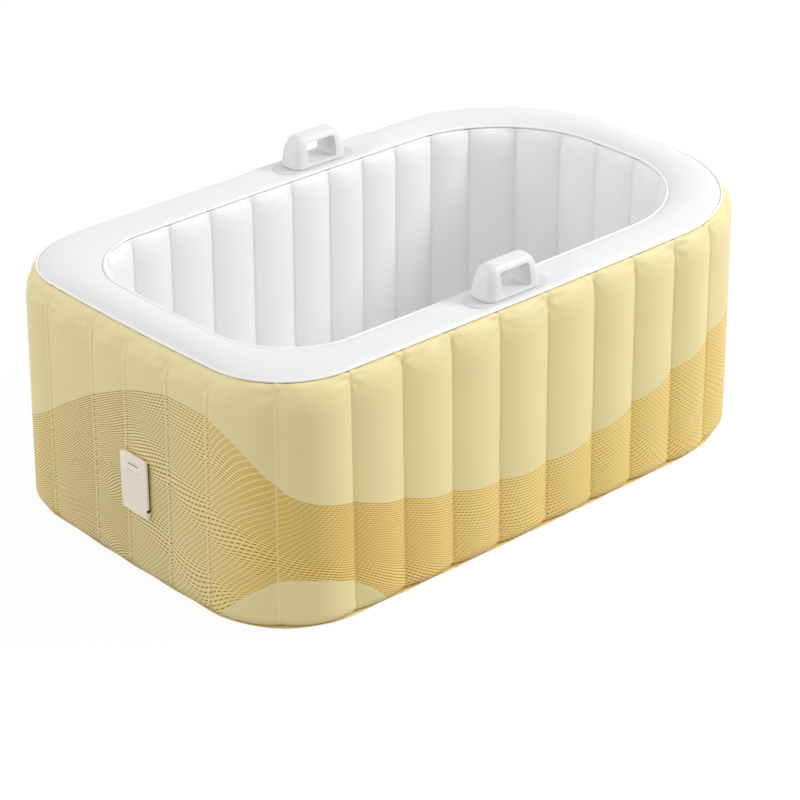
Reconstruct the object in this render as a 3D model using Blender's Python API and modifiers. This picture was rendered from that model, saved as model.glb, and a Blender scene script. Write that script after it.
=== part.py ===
"""Inflatable bathtub.

An oblong tub with an air-filled wall: a printed outer skin, a white inner skin and a
white top deck, tied together by upright webs that draw both skins into channels.
Metres, +Z up. The origin is on the floor under the middle of the tub, +X points to the
rounder end, -X to the end that holds the pump, and -Y is the long front side.
"""

import math

import bmesh
import bpy
from mathutils import Vector

# Plan of the tub along the seams that edge the top deck
TUB_LENGTH = 1.600
TUB_WIDTH = 0.956
RIM_HEIGHT = 0.590
DECK_WIDTH = 0.109
PUMP_END_RADIUS = 0.187
ROUND_END_RADIUS = 0.355
INNER_PUMP_END_RADIUS = 0.190
INNER_ROUND_END_RADIUS = 0.299
SIDE_BOW = 0.0086
END_BOW = 0.0144

# Air channels between the webs
CHANNEL_COUNT = 32
COLUMN_COUNT = 3
OUTER_SEAM_START = 0.012
INNER_SEAM_START = 0.022
OUTER_SEAM_SHIFT_SHARES = {31: 0.17, 2: -0.10, 3: -0.10, 8: 0.03, 9: 0.07, 11: -0.07, 12: -0.13, 13: -0.06}
INNER_SEAM_SHIFT_SHARES = {15: 0.08, 16: 0.14, 17: 0.12, 18: 0.11, 19: 0.10, 22: -0.07, 23: -0.14,
                           24: -0.14, 25: -0.08, 27: 0.05}
SIDE_SWELL = 0.012
PUMP_END_SWELL = 0.004
INNER_SWELL = 0.012

# Skins and the clearance between welded pieces
SKIN = 0.0010
GAP = 0.0003

# Outer skin, from the deck seam over the shoulder and down to the foot
SHOULDER_DROP = 0.075
SHOULDER_REACH = 0.032
FOOT_REACH = 0.040
FOOT_RADIUS = 0.028
FOOT_SWELL_SHARE = 0.45
SHOULDER_BAND_COUNT = 3
FOOT_BAND_COUNT = 2

# Inner skin
INNER_DROP = 0.060
INNER_REACH = 0.022
INNER_BAND_COUNT = 2

# Top deck and its two beads
DECK_CROWN = 0.004
DECK_PROFILE_SHARES = ((0.0, 0.0), (0.045, 0.6), (0.11, 1.0), (0.89, 1.0), (0.955, 0.6), (1.0, 0.0))
OUTER_BEAD_RADIUS = 0.0030
INNER_BEAD_RADIUS = 0.0035

# Base sheet, webs and floor cushion
BASE_SKIN = 0.0012
BASE_FLANGE = 0.022
WEB_SKIN = 0.0006
FLOOR_HEIGHT = 0.055
FLOOR_CHANNEL_COUNT = 10
FLOOR_STEP_COUNT = 4
FLOOR_MARGIN = 0.004
FLOOR_VALLEY_SHARE = 0.72
FLOOR_BODY_SHARE = 0.95
FLOOR_END_SHARES = ((1.0, 0.30), (0.98, 0.60))
FLOOR_SECTION_SHARES = ((-0.965, 0.0), (-1.0, 0.35), (-0.975, 0.72), (-0.88, 0.93), (-0.5, 1.0), (0.0, 1.0),
                        (0.5, 1.0), (0.88, 0.93), (0.975, 0.72), (1.0, 0.35), (0.965, 0.0))

# Carrying handles on the deck
NEAR_HANDLE_X = -0.090
FAR_HANDLE_X = 0.092
HANDLE_LENGTH = 0.168
HANDLE_TOP_LENGTH = 0.118
HANDLE_DEPTH = 0.076
HANDLE_TOP_DEPTH = 0.038
HANDLE_HEIGHT = 0.079
HANDLE_CORNER_SHARE = 0.34
HANDLE_PROFILE_SHARES = ((0.0, 1.0, 0.0), (0.06, 0.93, 0.0), (0.17, 0.74, 0.0), (0.34, 0.50, 0.0),
                         (0.55, 0.27, 0.0), (0.74, 0.10, 0.0), (0.87, 0.02, 0.04), (0.96, 0.0, 0.20),
                         (1.0, 0.0, 0.46))
FINGER_GAP_LENGTH = 0.090
FINGER_GAP_HEIGHT = 0.052
FINGER_GAP_SILL = 0.009
FINGER_GAP_RADIUS = 0.007
PATCH_LENGTH = 0.240
PATCH_DEPTH = 0.082
PATCH_THICKNESS = 0.0020

# Pump station in the flat end
PUMP_CHANNEL_INDEX = 0
PUMP_Y = -0.056
PUMP_Z = 0.235
CUP_WIDTH = 0.074
CUP_HEIGHT = 0.128
CUP_DEPTH = 0.092
CUP_WALL = 0.0022
CUP_RADIUS = 0.008
CUP_HOLE_CLEARANCE = 0.0008
WELD_FRAME_MARGIN = 0.014
WELD_FRAME_INNER_MARGIN = 0.0045
WELD_FRAME_THICKNESS = 0.0012
BEZEL_WIDTH = 0.089
BEZEL_HEIGHT = 0.141
BEZEL_THICKNESS = 0.0040
BEZEL_RADIUS = 0.009
BEZEL_NECK = 0.008
DOOR_WIDTH = 0.093
DOOR_HEIGHT = 0.145
DOOR_THICKNESS = 0.0050
DOOR_RADIUS = 0.011
DOOR_CLEARANCE = 0.0006
KNUCKLE_RADIUS = 0.0027
LUG_WIDTH = 0.0070
LUG_HEIGHT = 0.0180
PIN_RADIUS = 0.0011
SHAFT_CLEARANCE = 0.0001
GRIP_SLOT_WIDTH = 0.034
GRIP_SLOT_HEIGHT = 0.0026
GRIP_SLOT_DEPTH = 0.0020
GRIP_SLOT_DROP = 0.024
GRIP_RIDGE_WIDTH = 0.048
GRIP_RIDGE_HEIGHT = 0.0022
GRIP_RIDGE_RISE = 0.0006
GRIP_RIDGE_DROP = 0.038

# Pump face and what is set in it
RECESS_DEPTH = 0.030
FACE_THICKNESS = 0.0030
KNOB_Z = 0.030
KNOB_RADIUS = 0.019
KNOB_HEIGHT = 0.006
KNOB_GRIP_HEIGHT = 0.015
KNOB_GRIP_WIDTH = 0.008
KNOB_SPINDLE_RADIUS = 0.0040
KNOB_SPINDLE_LENGTH = 0.008
RUNNING_CLEARANCE = 0.0003
GRILLE_Z = -0.018
GRILLE_WIDTH = 0.050
GRILLE_HEIGHT = 0.034
GRILLE_FRAME = 0.0030
GRILLE_SLOT_COUNT = 6
GRILLE_SLOT_SHARE = 0.55
SOCKET_Z = -0.0535
SOCKET_WIDTH = 0.020
SOCKET_HEIGHT = 0.010
SOCKET_DEPTH = 0.012
SOCKET_MOUTH_WIDTH = 0.0092
SOCKET_MOUTH_HEIGHT = 0.0034
SOCKET_MOUTH_DEPTH = 0.007

# Blower behind the pump face
BLOWER_RADIUS = 0.0285
BLOWER_LENGTH = 0.022
BLOWER_WALL = 0.0016
BLOWER_INTAKE_RADIUS = 0.015
IMPELLER_RADIUS = 0.0240
IMPELLER_DISC = 0.0016
IMPELLER_VANE_COUNT = 8
IMPELLER_VANE_HEIGHT = 0.010
IMPELLER_VANE_THICKNESS = 0.0014
IMPELLER_HUB_RADIUS = 0.0055
MOTOR_RADIUS = 0.017
MOTOR_LENGTH = 0.028
SHAFT_RADIUS = 0.0015
SHAFT_LENGTH = 0.014

# One-way valve at the back of the cup
VALVE_Z = 0.038
VALVE_DISC_RADIUS = 0.0125
VALVE_DISC_THICKNESS = 0.0020
VALVE_STEM_RADIUS = 0.0020
VALVE_STEM_LENGTH = 0.012
VALVE_PORT_COUNT = 4
VALVE_PORT_RADIUS = 0.0032
VALVE_PORT_CIRCLE = 0.0075

# Drain through the wall of the round end
DRAIN_CHANNEL_INDEX = 16
DRAIN_Z = 0.098
DRAIN_BORE_RADIUS = 0.0140
DRAIN_WALL = 0.0025
DRAIN_FLANGE_RADIUS = 0.027
DRAIN_FLANGE_THICKNESS = 0.0025
DRAIN_NECK_LENGTH = 0.016
DRAIN_NECK_RADIUS = 0.0190
CAP_WALL = 0.0025
CAP_TOP = 0.0030
CAP_RIB_COUNT = 12
CAP_RIB = 0.0016
PLUG_LENGTH = 0.012
PLUG_TAPER = 0.0012
PLUG_HEAD_RADIUS = 0.019
PLUG_HEAD_THICKNESS = 0.0030
PLUG_TAB_LENGTH = 0.010
PLUG_TAB_WIDTH = 0.012
PLUG_TAB_THICKNESS = 0.0030

# Cutters run this far past what they cut
OVERRUN = 0.004
ROUND_STEP_COUNT = 24
MERGE = 0.00005

COLORS = {
    "printed_pvc": ((0.86, 0.75, 0.43), 0.42, 0.0),
    "white_pvc": ((0.88, 0.89, 0.88), 0.38, 0.0),
    "bead_pvc": ((0.92, 0.92, 0.91), 0.32, 0.0),
    "web_pvc": ((0.80, 0.80, 0.78), 0.5, 0.0),
    "moulded_pvc": ((0.78, 0.80, 0.79), 0.40, 0.0),
    "white_abs": ((0.82, 0.79, 0.74), 0.35, 0.0),
    "grey_abs": ((0.45, 0.46, 0.47), 0.45, 0.0),
    "dark_abs": ((0.06, 0.06, 0.065), 0.45, 0.0),
    "steel": ((0.55, 0.56, 0.57), 0.30, 1.0),
    "rubber": ((0.30, 0.30, 0.30), 0.60, 0.0),
}


# Scene and small helpers

def clear_scene():
    for obj in list(bpy.data.objects):
        bpy.data.objects.remove(obj, do_unlink=True)


def make_collection(name):
    collection = bpy.data.collections.new(name)
    bpy.context.scene.collection.children.link(collection)
    return collection


clear_scene()
PARTS = make_collection("inflatable_bathtub")
CUTTERS = make_collection("cutters")


def get_material(name):
    material = bpy.data.materials.get(name)
    if material:
        return material
    color, roughness, metallic = COLORS[name]
    material = bpy.data.materials.new(name)
    material.use_nodes = True
    shader = material.node_tree.nodes["Principled BSDF"]
    shader.inputs["Base Color"].default_value = (*color, 1.0)
    shader.inputs["Roughness"].default_value = roughness
    shader.inputs["Metallic"].default_value = metallic
    return material


def add_part(name, data, material, location=(0, 0, 0), rotation=(0, 0, 0)):
    obj = bpy.data.objects.new(name, data)
    obj.location = location
    obj.rotation_euler = rotation
    data.materials.append(get_material(material))
    PARTS.objects.link(obj)
    return obj


def add_cutter(name, data, location=(0, 0, 0), rotation=(0, 0, 0)):
    obj = bpy.data.objects.new(name, data)
    obj.location = location
    obj.rotation_euler = rotation
    obj.hide_render = True
    obj.display_type = "WIRE"
    CUTTERS.objects.link(obj)
    return obj


def finish_mesh(name, bm, smooth=False):
    mesh = bpy.data.meshes.new(name)
    bm.to_mesh(mesh)
    bm.free()
    if smooth:
        mesh.shade_smooth()
    return mesh


def combine(target, tool, operation):
    modifier = target.modifiers.new(operation.lower(), "BOOLEAN")
    modifier.operation = operation
    modifier.solver = "EXACT"
    modifier.object = tool


def cut(target, cutter):
    combine(target, cutter, "DIFFERENCE")


def add_to(target, tool):
    combine(target, tool, "UNION")


def thicken(obj, thickness, side):
    """Give an open skin its thickness, to one side (-1 or 1) or to both (0)."""
    modifier = obj.modifiers.new("thickness", "SOLIDIFY")
    modifier.thickness = thickness
    modifier.offset = side
    modifier.use_even_offset = True


def loft_mesh(name, sections, closed_sections=True, capped=True):
    """Skin a row of sections, whose first and last ones can be closed with a cap."""
    bm = bmesh.new()
    rings = [[bm.verts.new(point) for point in section] for section in sections]
    for ring, following in zip(rings, rings[1:]):
        count = len(ring)
        spans = count if closed_sections else count - 1
        for index in range(spans):
            after = (index + 1) % count
            bm.faces.new((ring[index], ring[after], following[after], following[index]))
    if capped:
        bm.faces.new(rings[0])
        bm.faces.new(rings[-1])
    bmesh.ops.recalc_face_normals(bm, faces=bm.faces)
    return finish_mesh(name, bm, smooth=True)


def ring_skin_mesh(name, rows):
    """Skin rows that each run right round the tub and close on themselves."""
    bm = bmesh.new()
    rings = [[bm.verts.new(point) for point in row] for row in rows]
    for ring, upper in zip(rings, rings[1:]):
        count = len(ring)
        for index in range(count):
            after = (index + 1) % count
            bm.faces.new((ring[index], ring[after], upper[after], upper[index]))
    return finish_mesh(name, bm, smooth=True)


def block_mesh(name, size, radius=0.0, axis=0, segments=4):
    """Box of the given size about its own centre, its edges along one axis rounded."""
    bm = bmesh.new()
    bmesh.ops.create_cube(bm, size=1.0)
    bmesh.ops.scale(bm, vec=Vector(size), verts=bm.verts)
    if radius > 0.0:
        others = [size[index] for index in range(3) if index != axis]
        limit = 0.49 * min(others)
        edges = [edge for edge in bm.edges if edge_runs_along(edge, axis)]
        bmesh.ops.bevel(bm, geom=edges, offset=min(radius, limit), segments=segments,
                        profile=0.5, affect="EDGES")
    return finish_mesh(name, bm)


def edge_runs_along(edge, axis):
    step = edge.verts[1].co - edge.verts[0].co
    return all(abs(step[index]) < MERGE for index in range(3) if index != axis)


def cylinder_mesh(name, radius, length, steps=ROUND_STEP_COUNT):
    """Cylinder about its own Z axis."""
    bm = bmesh.new()
    bmesh.ops.create_cone(bm, cap_ends=True, segments=steps, radius1=radius, radius2=radius, depth=length)
    return finish_mesh(name, bm)


def turn(name, profile, closed=False, steps=ROUND_STEP_COUNT):
    """Mesh of a profile of (radius, height) points, for the Screw modifier about Z."""
    bm = bmesh.new()
    verts = [bm.verts.new((radius, 0, height)) for radius, height in profile]
    for first, second in zip(verts, verts[1:]):
        bm.edges.new((first, second))
    if closed:
        bm.edges.new((verts[-1], verts[0]))
    return finish_mesh(name, bm)


def add_screw(obj, steps=ROUND_STEP_COUNT):
    modifier = obj.modifiers.new("turned", "SCREW")
    modifier.steps = steps
    modifier.render_steps = steps
    modifier.use_merge_vertices = True
    modifier.merge_threshold = MERGE
    return obj


def bead_curve(name, points, radius):
    """Closed round bead along a ring of points."""
    curve = bpy.data.curves.new(name, "CURVE")
    curve.dimensions = "3D"
    curve.twist_mode = "Z_UP"
    curve.bevel_depth = radius
    curve.bevel_resolution = 1
    spline = curve.splines.new("POLY")
    spline.points.add(len(points) - 1)
    for target, point in zip(spline.points, points):
        target.co = (*point, 1.0)
    spline.use_cyclic_u = True
    return curve


def plate_curve(name, outline, thickness):
    """Flat plate of a closed outline in its own XY plane."""
    curve = bpy.data.curves.new(name, "CURVE")
    curve.dimensions = "2D"
    curve.fill_mode = "BOTH"
    curve.extrude = thickness / 2
    spline = curve.splines.new("POLY")
    spline.points.add(len(outline) - 1)
    for target, (x, y) in zip(spline.points, outline):
        target.co = (x, y, 0, 1.0)
    spline.use_cyclic_u = True
    return curve


def rounded_outline(length, depth, radius, steps=5):
    """Rectangle with round corners about the origin."""
    radius = min(radius, length / 2, depth / 2)
    outline = []
    for x_side, y_side, start in ((1, 1, 0), (-1, 1, 90), (-1, -1, 180), (1, -1, 270)):
        for step in range(steps + 1):
            angle = math.radians(start + 90 * step / steps)
            outline.append((x_side * (length / 2 - radius) + radius * math.cos(angle),
                            y_side * (depth / 2 - radius) + radius * math.sin(angle)))
    return outline


# Plan of the wall

class Plan:
    """Rounded rectangle with bowed sides, walked anticlockwise from the pump end."""

    def __init__(self, inset, pump_radius, round_radius):
        self.half_length = TUB_LENGTH / 2 - inset
        self.half_width = TUB_WIDTH / 2 - inset
        self.pump_radius = min(pump_radius, self.half_width)
        self.round_radius = min(round_radius, self.half_width)
        self.pieces = self.make_pieces()
        self.perimeter = sum(piece[0] for piece in self.pieces)

    def make_pieces(self):
        """Straight runs as (length, start, direction), corners as (length, centre, radius, angle)."""
        length, width = self.half_length, self.half_width
        pump, rounded = self.pump_radius, self.round_radius
        pump_run = width - pump
        round_run = width - rounded
        side_run = 2 * length - pump - rounded
        quarter = math.pi / 2
        return [
            (pump_run, (-length, 0), (0, -1)),
            (quarter * pump, (pump - length, -pump_run), pump, math.pi),
            (side_run, (pump - length, -width), (1, 0)),
            (quarter * rounded, (length - rounded, -round_run), rounded, 3 * quarter),
            (2 * round_run, (length, -round_run), (0, 1)),
            (quarter * rounded, (length - rounded, round_run), rounded, 0),
            (side_run, (length - rounded, width), (-1, 0)),
            (quarter * pump, (pump - length, pump_run), pump, quarter),
            (pump_run, (-length, pump_run), (0, -1)),
        ]

    def walk(self, distance):
        """Point and outward normal at a distance along the plan."""
        distance %= self.perimeter
        for piece in self.pieces:
            if distance <= piece[0]:
                break
            distance -= piece[0]
        if len(piece) == 3:
            _, start, direction = piece
            point = Vector((start[0] + direction[0] * distance, start[1] + direction[1] * distance))
            normal = Vector((direction[1], -direction[0]))
        else:
            _, centre, radius, start_angle = piece
            angle = start_angle + distance / radius
            normal = Vector((math.cos(angle), math.sin(angle)))
            point = Vector(centre) + radius * normal
        return self.bow(point), normal

    def bow(self, point):
        """Swell the straight sides a little, as air pressure does."""
        x_share = point.x / self.half_length
        y_share = point.y / self.half_width
        return Vector((point.x + x_share * END_BOW * (1 - y_share ** 2),
                       point.y + y_share * SIDE_BOW * (1 - x_share ** 2)))

    def half_width_at(self, x, inset):
        """Half width of the plan at x, drawn in by an inset."""
        length = self.half_length - inset
        width = self.half_width - inset
        radius = max(self.round_radius if x > 0 else self.pump_radius, inset) - inset
        past_corner = max(abs(x) - (length - radius), 0)
        corner = radius - math.sqrt(max(radius ** 2 - past_corner ** 2, 0))
        return width - corner + SIDE_BOW * (1 - (x / self.half_length) ** 2)


OUTER = Plan(0, PUMP_END_RADIUS, ROUND_END_RADIUS)
INNER = Plan(DECK_WIDTH, INNER_PUMP_END_RADIUS, INNER_ROUND_END_RADIUS)


def seam_distance(plan, start, shift_shares, channel):
    pitch = plan.perimeter / CHANNEL_COUNT
    return start + pitch * (channel + shift_shares.get(channel % CHANNEL_COUNT, 0))


def make_columns(plan, start, shift_shares):
    """Columns round the wall as (point, normal, swell): swell is 0 on a seam, 1 at mid channel."""
    columns = []
    for channel in range(CHANNEL_COUNT):
        here = seam_distance(plan, start, shift_shares, channel)
        there = seam_distance(plan, start, shift_shares, channel + 1)
        for step in range(COLUMN_COUNT):
            share = step / COLUMN_COUNT
            point, normal = plan.walk(here + (there - here) * share)
            columns.append((point, normal, 4 * share * (1 - share)))
    return columns


OUTER_COLUMNS = make_columns(OUTER, OUTER_SEAM_START, OUTER_SEAM_SHIFT_SHARES)
INNER_COLUMNS = make_columns(INNER, INNER_SEAM_START, INNER_SEAM_SHIFT_SHARES)


# Upright profiles of the two skins

OUTER_TOP = RIM_HEIGHT - OUTER_BEAD_RADIUS - GAP
INNER_TOP = RIM_HEIGHT - INNER_BEAD_RADIUS - GAP
WALL_BOTTOM = BASE_SKIN + GAP
SHOULDER_Z = OUTER_TOP - SHOULDER_DROP
FOOT_Z = WALL_BOTTOM + FOOT_RADIUS
INNER_SHOULDER_Z = INNER_TOP - INNER_DROP


def outer_reach(z):
    """How far the outer skin stands out from the deck seam at a height."""
    if z > SHOULDER_Z:
        rise = (z - SHOULDER_Z) / SHOULDER_DROP
        return SHOULDER_REACH * math.sqrt(max(1 - rise ** 2, 0))
    if z < FOOT_Z:
        fall = (FOOT_Z - z) / FOOT_RADIUS
        return FOOT_REACH - FOOT_RADIUS * (1 - math.sqrt(max(1 - fall ** 2, 0)))
    share = (SHOULDER_Z - z) / (SHOULDER_Z - FOOT_Z)
    return SHOULDER_REACH + (FOOT_REACH - SHOULDER_REACH) * share


def outer_swell_share(z):
    """Share of the full channel depth at a height."""
    if z > SHOULDER_Z:
        return 1 - ((z - SHOULDER_Z) / SHOULDER_DROP) ** 2
    if z < FOOT_Z:
        return 1 - (1 - FOOT_SWELL_SHARE) * (FOOT_Z - z) / FOOT_RADIUS
    return 1


def outer_swell(normal):
    """Channel depth, shallow on the flat pump end and full elsewhere."""
    share = max(-normal.x, 0) ** 2
    return SIDE_SWELL + (PUMP_END_SWELL - SIDE_SWELL) * share


def inner_reach(z):
    """How far the inner skin stands into the tub from the inner deck seam."""
    rise = max(z - INNER_SHOULDER_Z, 0) / INNER_DROP
    return INNER_REACH * math.sqrt(max(1 - rise ** 2, 0))


def inner_swell_share(z):
    rise = max(z - INNER_SHOULDER_Z, 0) / INNER_DROP
    return 1 - rise ** 2


def outer_point(column, z, depth=0.0):
    """Point of the outer skin in a column at a height, at a depth behind its face."""
    point, normal, swell = column
    dip = outer_swell(normal) * outer_swell_share(z) * (1 - swell)
    place = point + normal * (outer_reach(z) - dip - depth)
    return (place.x, place.y, z)


def inner_point(column, z, depth=0.0):
    """Point of the inner skin in a column at a height, at a depth behind its face."""
    point, normal, swell = column
    dip = INNER_SWELL * inner_swell_share(z) * (1 - swell)
    place = point - normal * (inner_reach(z) - dip - depth)
    return (place.x, place.y, z)


def channel_faces(columns, point_at, channel, z):
    """X of a skin's face at the columns of one channel, at a height."""
    first = channel * COLUMN_COUNT
    return [point_at(column, z)[0] for column in columns[first:first + COLUMN_COUNT]]


def arc_heights(start, end, bands):
    """Heights that share out a quarter round evenly, from its flat end to its steep end."""
    return [start + (end - start) * math.sin(math.pi / 2 * band / bands) for band in range(bands + 1)]


def outer_heights():
    foot = arc_heights(FOOT_Z, WALL_BOTTOM, FOOT_BAND_COUNT)[::-1]
    shoulder = arc_heights(SHOULDER_Z, OUTER_TOP, SHOULDER_BAND_COUNT)
    return foot + shoulder


def inner_heights():
    return [WALL_BOTTOM] + arc_heights(INNER_SHOULDER_Z, INNER_TOP, INNER_BAND_COUNT)


# Skins, deck, beads and base

def make_outer_wall():
    rows = [[outer_point(column, z) for column in OUTER_COLUMNS] for z in outer_heights()]
    wall = add_part("outer_wall", ring_skin_mesh("outer_wall", rows), "printed_pvc")
    thicken(wall, SKIN, -1)
    return wall


def make_inner_wall():
    rows = [[inner_point(column, z) for column in INNER_COLUMNS] for z in inner_heights()]
    wall = add_part("inner_wall", ring_skin_mesh("inner_wall", rows), "white_pvc")
    thicken(wall, SKIN, 1)
    return wall


def make_top_deck():
    rows = []
    for across, rise in DECK_PROFILE_SHARES:
        row = []
        for outer, inner in zip(OUTER_COLUMNS, INNER_COLUMNS):
            outer_edge = outer[0] - outer[1] * (OUTER_BEAD_RADIUS + GAP)
            inner_edge = inner[0] + inner[1] * (INNER_BEAD_RADIUS + GAP)
            place = outer_edge.lerp(inner_edge, across)
            row.append((place.x, place.y, RIM_HEIGHT + DECK_CROWN * rise))
        rows.append(row)
    deck = add_part("top_deck", ring_skin_mesh("top_deck", rows), "white_pvc")
    thicken(deck, SKIN, -1)


def make_deck_beads():
    outer_ring = [(point.x, point.y, RIM_HEIGHT) for point, _, _ in OUTER_COLUMNS]
    inner_ring = [(point.x, point.y, RIM_HEIGHT) for point, _, _ in INNER_COLUMNS]
    add_part("deck_outer_bead", bead_curve("deck_outer_bead", outer_ring, OUTER_BEAD_RADIUS), "bead_pvc")
    add_part("deck_inner_bead", bead_curve("deck_inner_bead", inner_ring, INNER_BEAD_RADIUS), "bead_pvc")


def make_base_sheet():
    reach = FOOT_REACH - FOOT_RADIUS + BASE_FLANGE
    outline = [tuple(point + normal * reach) for point, normal, _ in OUTER_COLUMNS]
    add_part("base_sheet", plate_curve("base_sheet", outline, BASE_SKIN), "web_pvc",
             location=(0, 0, BASE_SKIN / 2))


def make_webs():
    """One upright strip per seam, welded along both skins and open above and below for the air."""
    heights = (FOOT_Z, (FOOT_Z + SHOULDER_Z) / 2, SHOULDER_Z)
    for channel in range(CHANNEL_COUNT):
        outer = OUTER_COLUMNS[channel * COLUMN_COUNT]
        inner = INNER_COLUMNS[channel * COLUMN_COUNT]
        sections = [(outer_point(outer, z, SKIN + GAP), inner_point(inner, z, SKIN + GAP)) for z in heights]
        name = "web_%02d" % (channel + 1)
        web = add_part(name, loft_mesh(name, sections, closed_sections=False, capped=False), "web_pvc")
        thicken(web, WEB_SKIN, 0)


def floor_stations():
    """Stations along the air floor as (x share, height share): crosswise channels, drawn-in ends."""
    ends = [(-along, height) for along, height in FLOOR_END_SHARES]
    middle = []
    count = FLOOR_CHANNEL_COUNT * FLOOR_STEP_COUNT
    for station in range(count + 1):
        share = station / FLOOR_STEP_COUNT % 1
        swell = 4 * share * (1 - share)
        height = FLOOR_VALLEY_SHARE + (1 - FLOOR_VALLEY_SHARE) * swell
        middle.append((FLOOR_BODY_SHARE * (2 * station / count - 1), height))
    return ends + middle + [(-along, height) for along, height in reversed(ends)]


def make_floor_cushion():
    """Top skin of the air floor, drawn in at its welded edge, crowned between its seams."""
    inset = INNER_REACH + FLOOR_MARGIN
    half_length = INNER.half_length + END_BOW - inset
    sections = []
    for along, height_share in floor_stations():
        x = half_length * along
        half_width = INNER.half_width_at(x, inset)
        sections.append([(x, half_width * across, WALL_BOTTOM + FLOOR_HEIGHT * height_share * up)
                         for across, up in FLOOR_SECTION_SHARES])
    mesh = loft_mesh("floor_cushion", sections, closed_sections=False, capped=True)
    floor = add_part("floor_cushion", mesh, "white_pvc")
    thicken(floor, SKIN, -1)


# Handles

def deck_middle(x, side):
    """Middle of the deck's width at x on the near (-1) or far (1) long side."""
    bow = SIDE_BOW * (1 - (x / OUTER.half_length) ** 2)
    return side * (TUB_WIDTH / 2 + bow - DECK_WIDTH / 2)


def make_grip_mesh(name):
    """Moulded grip: a flared skirt that draws in to a crowned bar, level by level."""
    sections = []
    for rise, flare, crown in HANDLE_PROFILE_SHARES:
        drawn_in = HANDLE_TOP_DEPTH * crown
        length = HANDLE_TOP_LENGTH + (HANDLE_LENGTH - HANDLE_TOP_LENGTH) * flare - drawn_in
        depth = HANDLE_TOP_DEPTH + (HANDLE_DEPTH - HANDLE_TOP_DEPTH) * flare - drawn_in
        outline = rounded_outline(length, depth, HANDLE_CORNER_SHARE * depth, steps=4)
        sections.append([(x, y, HANDLE_HEIGHT * rise) for x, y in outline])
    return loft_mesh(name, sections)


def make_handles():
    deck_z = RIM_HEIGHT + DECK_CROWN
    patch_outline = rounded_outline(PATCH_LENGTH, PATCH_DEPTH, PATCH_DEPTH / 2)
    for place, x, side in (("near", NEAR_HANDLE_X, -1), ("far", FAR_HANDLE_X, 1)):
        y = deck_middle(x, side)
        patch_name = "handle_patch_" + place
        patch = plate_curve(patch_name, patch_outline, PATCH_THICKNESS)
        patch_z = deck_z + GAP + PATCH_THICKNESS / 2
        add_part(patch_name, patch, "moulded_pvc", location=(x, y, patch_z))
        grip_name = "handle_grip_" + place
        grip_z = deck_z + GAP + PATCH_THICKNESS + GAP
        grip = add_part(grip_name, make_grip_mesh(grip_name), "moulded_pvc", location=(x, y, grip_z))
        gap_size = (FINGER_GAP_LENGTH, HANDLE_DEPTH + 2 * OVERRUN, FINGER_GAP_HEIGHT)
        gap = block_mesh("finger_gap_" + place, gap_size, FINGER_GAP_RADIUS, axis=1)
        gap_z = grip_z + FINGER_GAP_SILL + FINGER_GAP_HEIGHT / 2
        cut(grip, add_cutter("finger_gap_" + place, gap, location=(x, y, gap_z)))


# Pump station. Depth runs inward from the outermost face of the wall at the pump

PUMP_WALL_X = min(channel_faces(OUTER_COLUMNS, outer_point, PUMP_CHANNEL_INDEX, PUMP_Z - BEZEL_HEIGHT / 2))
BEZEL_BACK = -GAP
BEZEL_FRONT = BEZEL_BACK - BEZEL_THICKNESS
DOOR_BACK = BEZEL_FRONT - DOOR_CLEARANCE
DOOR_FRONT = DOOR_BACK - DOOR_THICKNESS
HINGE_DEPTH = (DOOR_BACK + DOOR_FRONT) / 2
HINGE_Z = PUMP_Z - DOOR_HEIGHT / 2 + KNUCKLE_RADIUS
CUP_FRONT = BEZEL_BACK + GAP * 2
CUP_INNER_RADIUS = CUP_RADIUS - CUP_WALL
FACE_DEPTH = RECESS_DEPTH


def pump_place(depth, y=0.0, z=0.0):
    """World place at a depth behind the wall face and an offset from the pump's middle."""
    return Vector((PUMP_WALL_X + depth, PUMP_Y + y, PUMP_Z + z))


def pump_block(name, depths, width, height, radius, material=None, y=0.0, z=0.0):
    """Rounded block between two depths: a part if it has a material, otherwise a cutter."""
    near, far = depths
    mesh = block_mesh(name, (far - near, width, height), radius)
    place = pump_place((near + far) / 2, y, z)
    if material:
        return add_part(name, mesh, material, location=place)
    return add_cutter(name, mesh, location=place)


def make_pump_cup(outer_wall):
    hole = pump_block("cup_hole_cutter", (-OVERRUN * 4, CUP_DEPTH / 2), CUP_WIDTH + 2 * CUP_HOLE_CLEARANCE,
                      CUP_HEIGHT + 2 * CUP_HOLE_CLEARANCE, CUP_RADIUS)
    cut(outer_wall, hole)
    cup = pump_block("pump_cup", (CUP_FRONT, CUP_DEPTH), CUP_WIDTH, CUP_HEIGHT, CUP_RADIUS, "white_abs")
    hollow = pump_block("cup_hollow_cutter", (CUP_FRONT - OVERRUN, CUP_DEPTH - CUP_WALL),
                        CUP_WIDTH - 2 * CUP_WALL, CUP_HEIGHT - 2 * CUP_WALL, CUP_INNER_RADIUS)
    cut(cup, hollow)
    back = CUP_DEPTH - CUP_WALL / 2
    drill_from_front(cup, "valve_stem_cutter", VALVE_STEM_RADIUS + SHAFT_CLEARANCE, back, 0, VALVE_Z)
    for port in range(VALVE_PORT_COUNT):
        angle = 2 * math.pi * (port + 0.5) / VALVE_PORT_COUNT
        drill_from_front(cup, "valve_port_cutter_%d" % (port + 1), VALVE_PORT_RADIUS, back,
                         VALVE_PORT_CIRCLE * math.cos(angle), VALVE_Z + VALVE_PORT_CIRCLE * math.sin(angle))


def drill_from_front(target, name, radius, depth, y, z):
    """Round hole along X through a plate at a depth of the pump station."""
    mesh = cylinder_mesh(name, radius, CUP_WALL + 2 * OVERRUN)
    drill = add_cutter(name, mesh, location=pump_place(depth, y, z), rotation=(0, math.pi / 2, 0))
    cut(target, drill)


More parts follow.
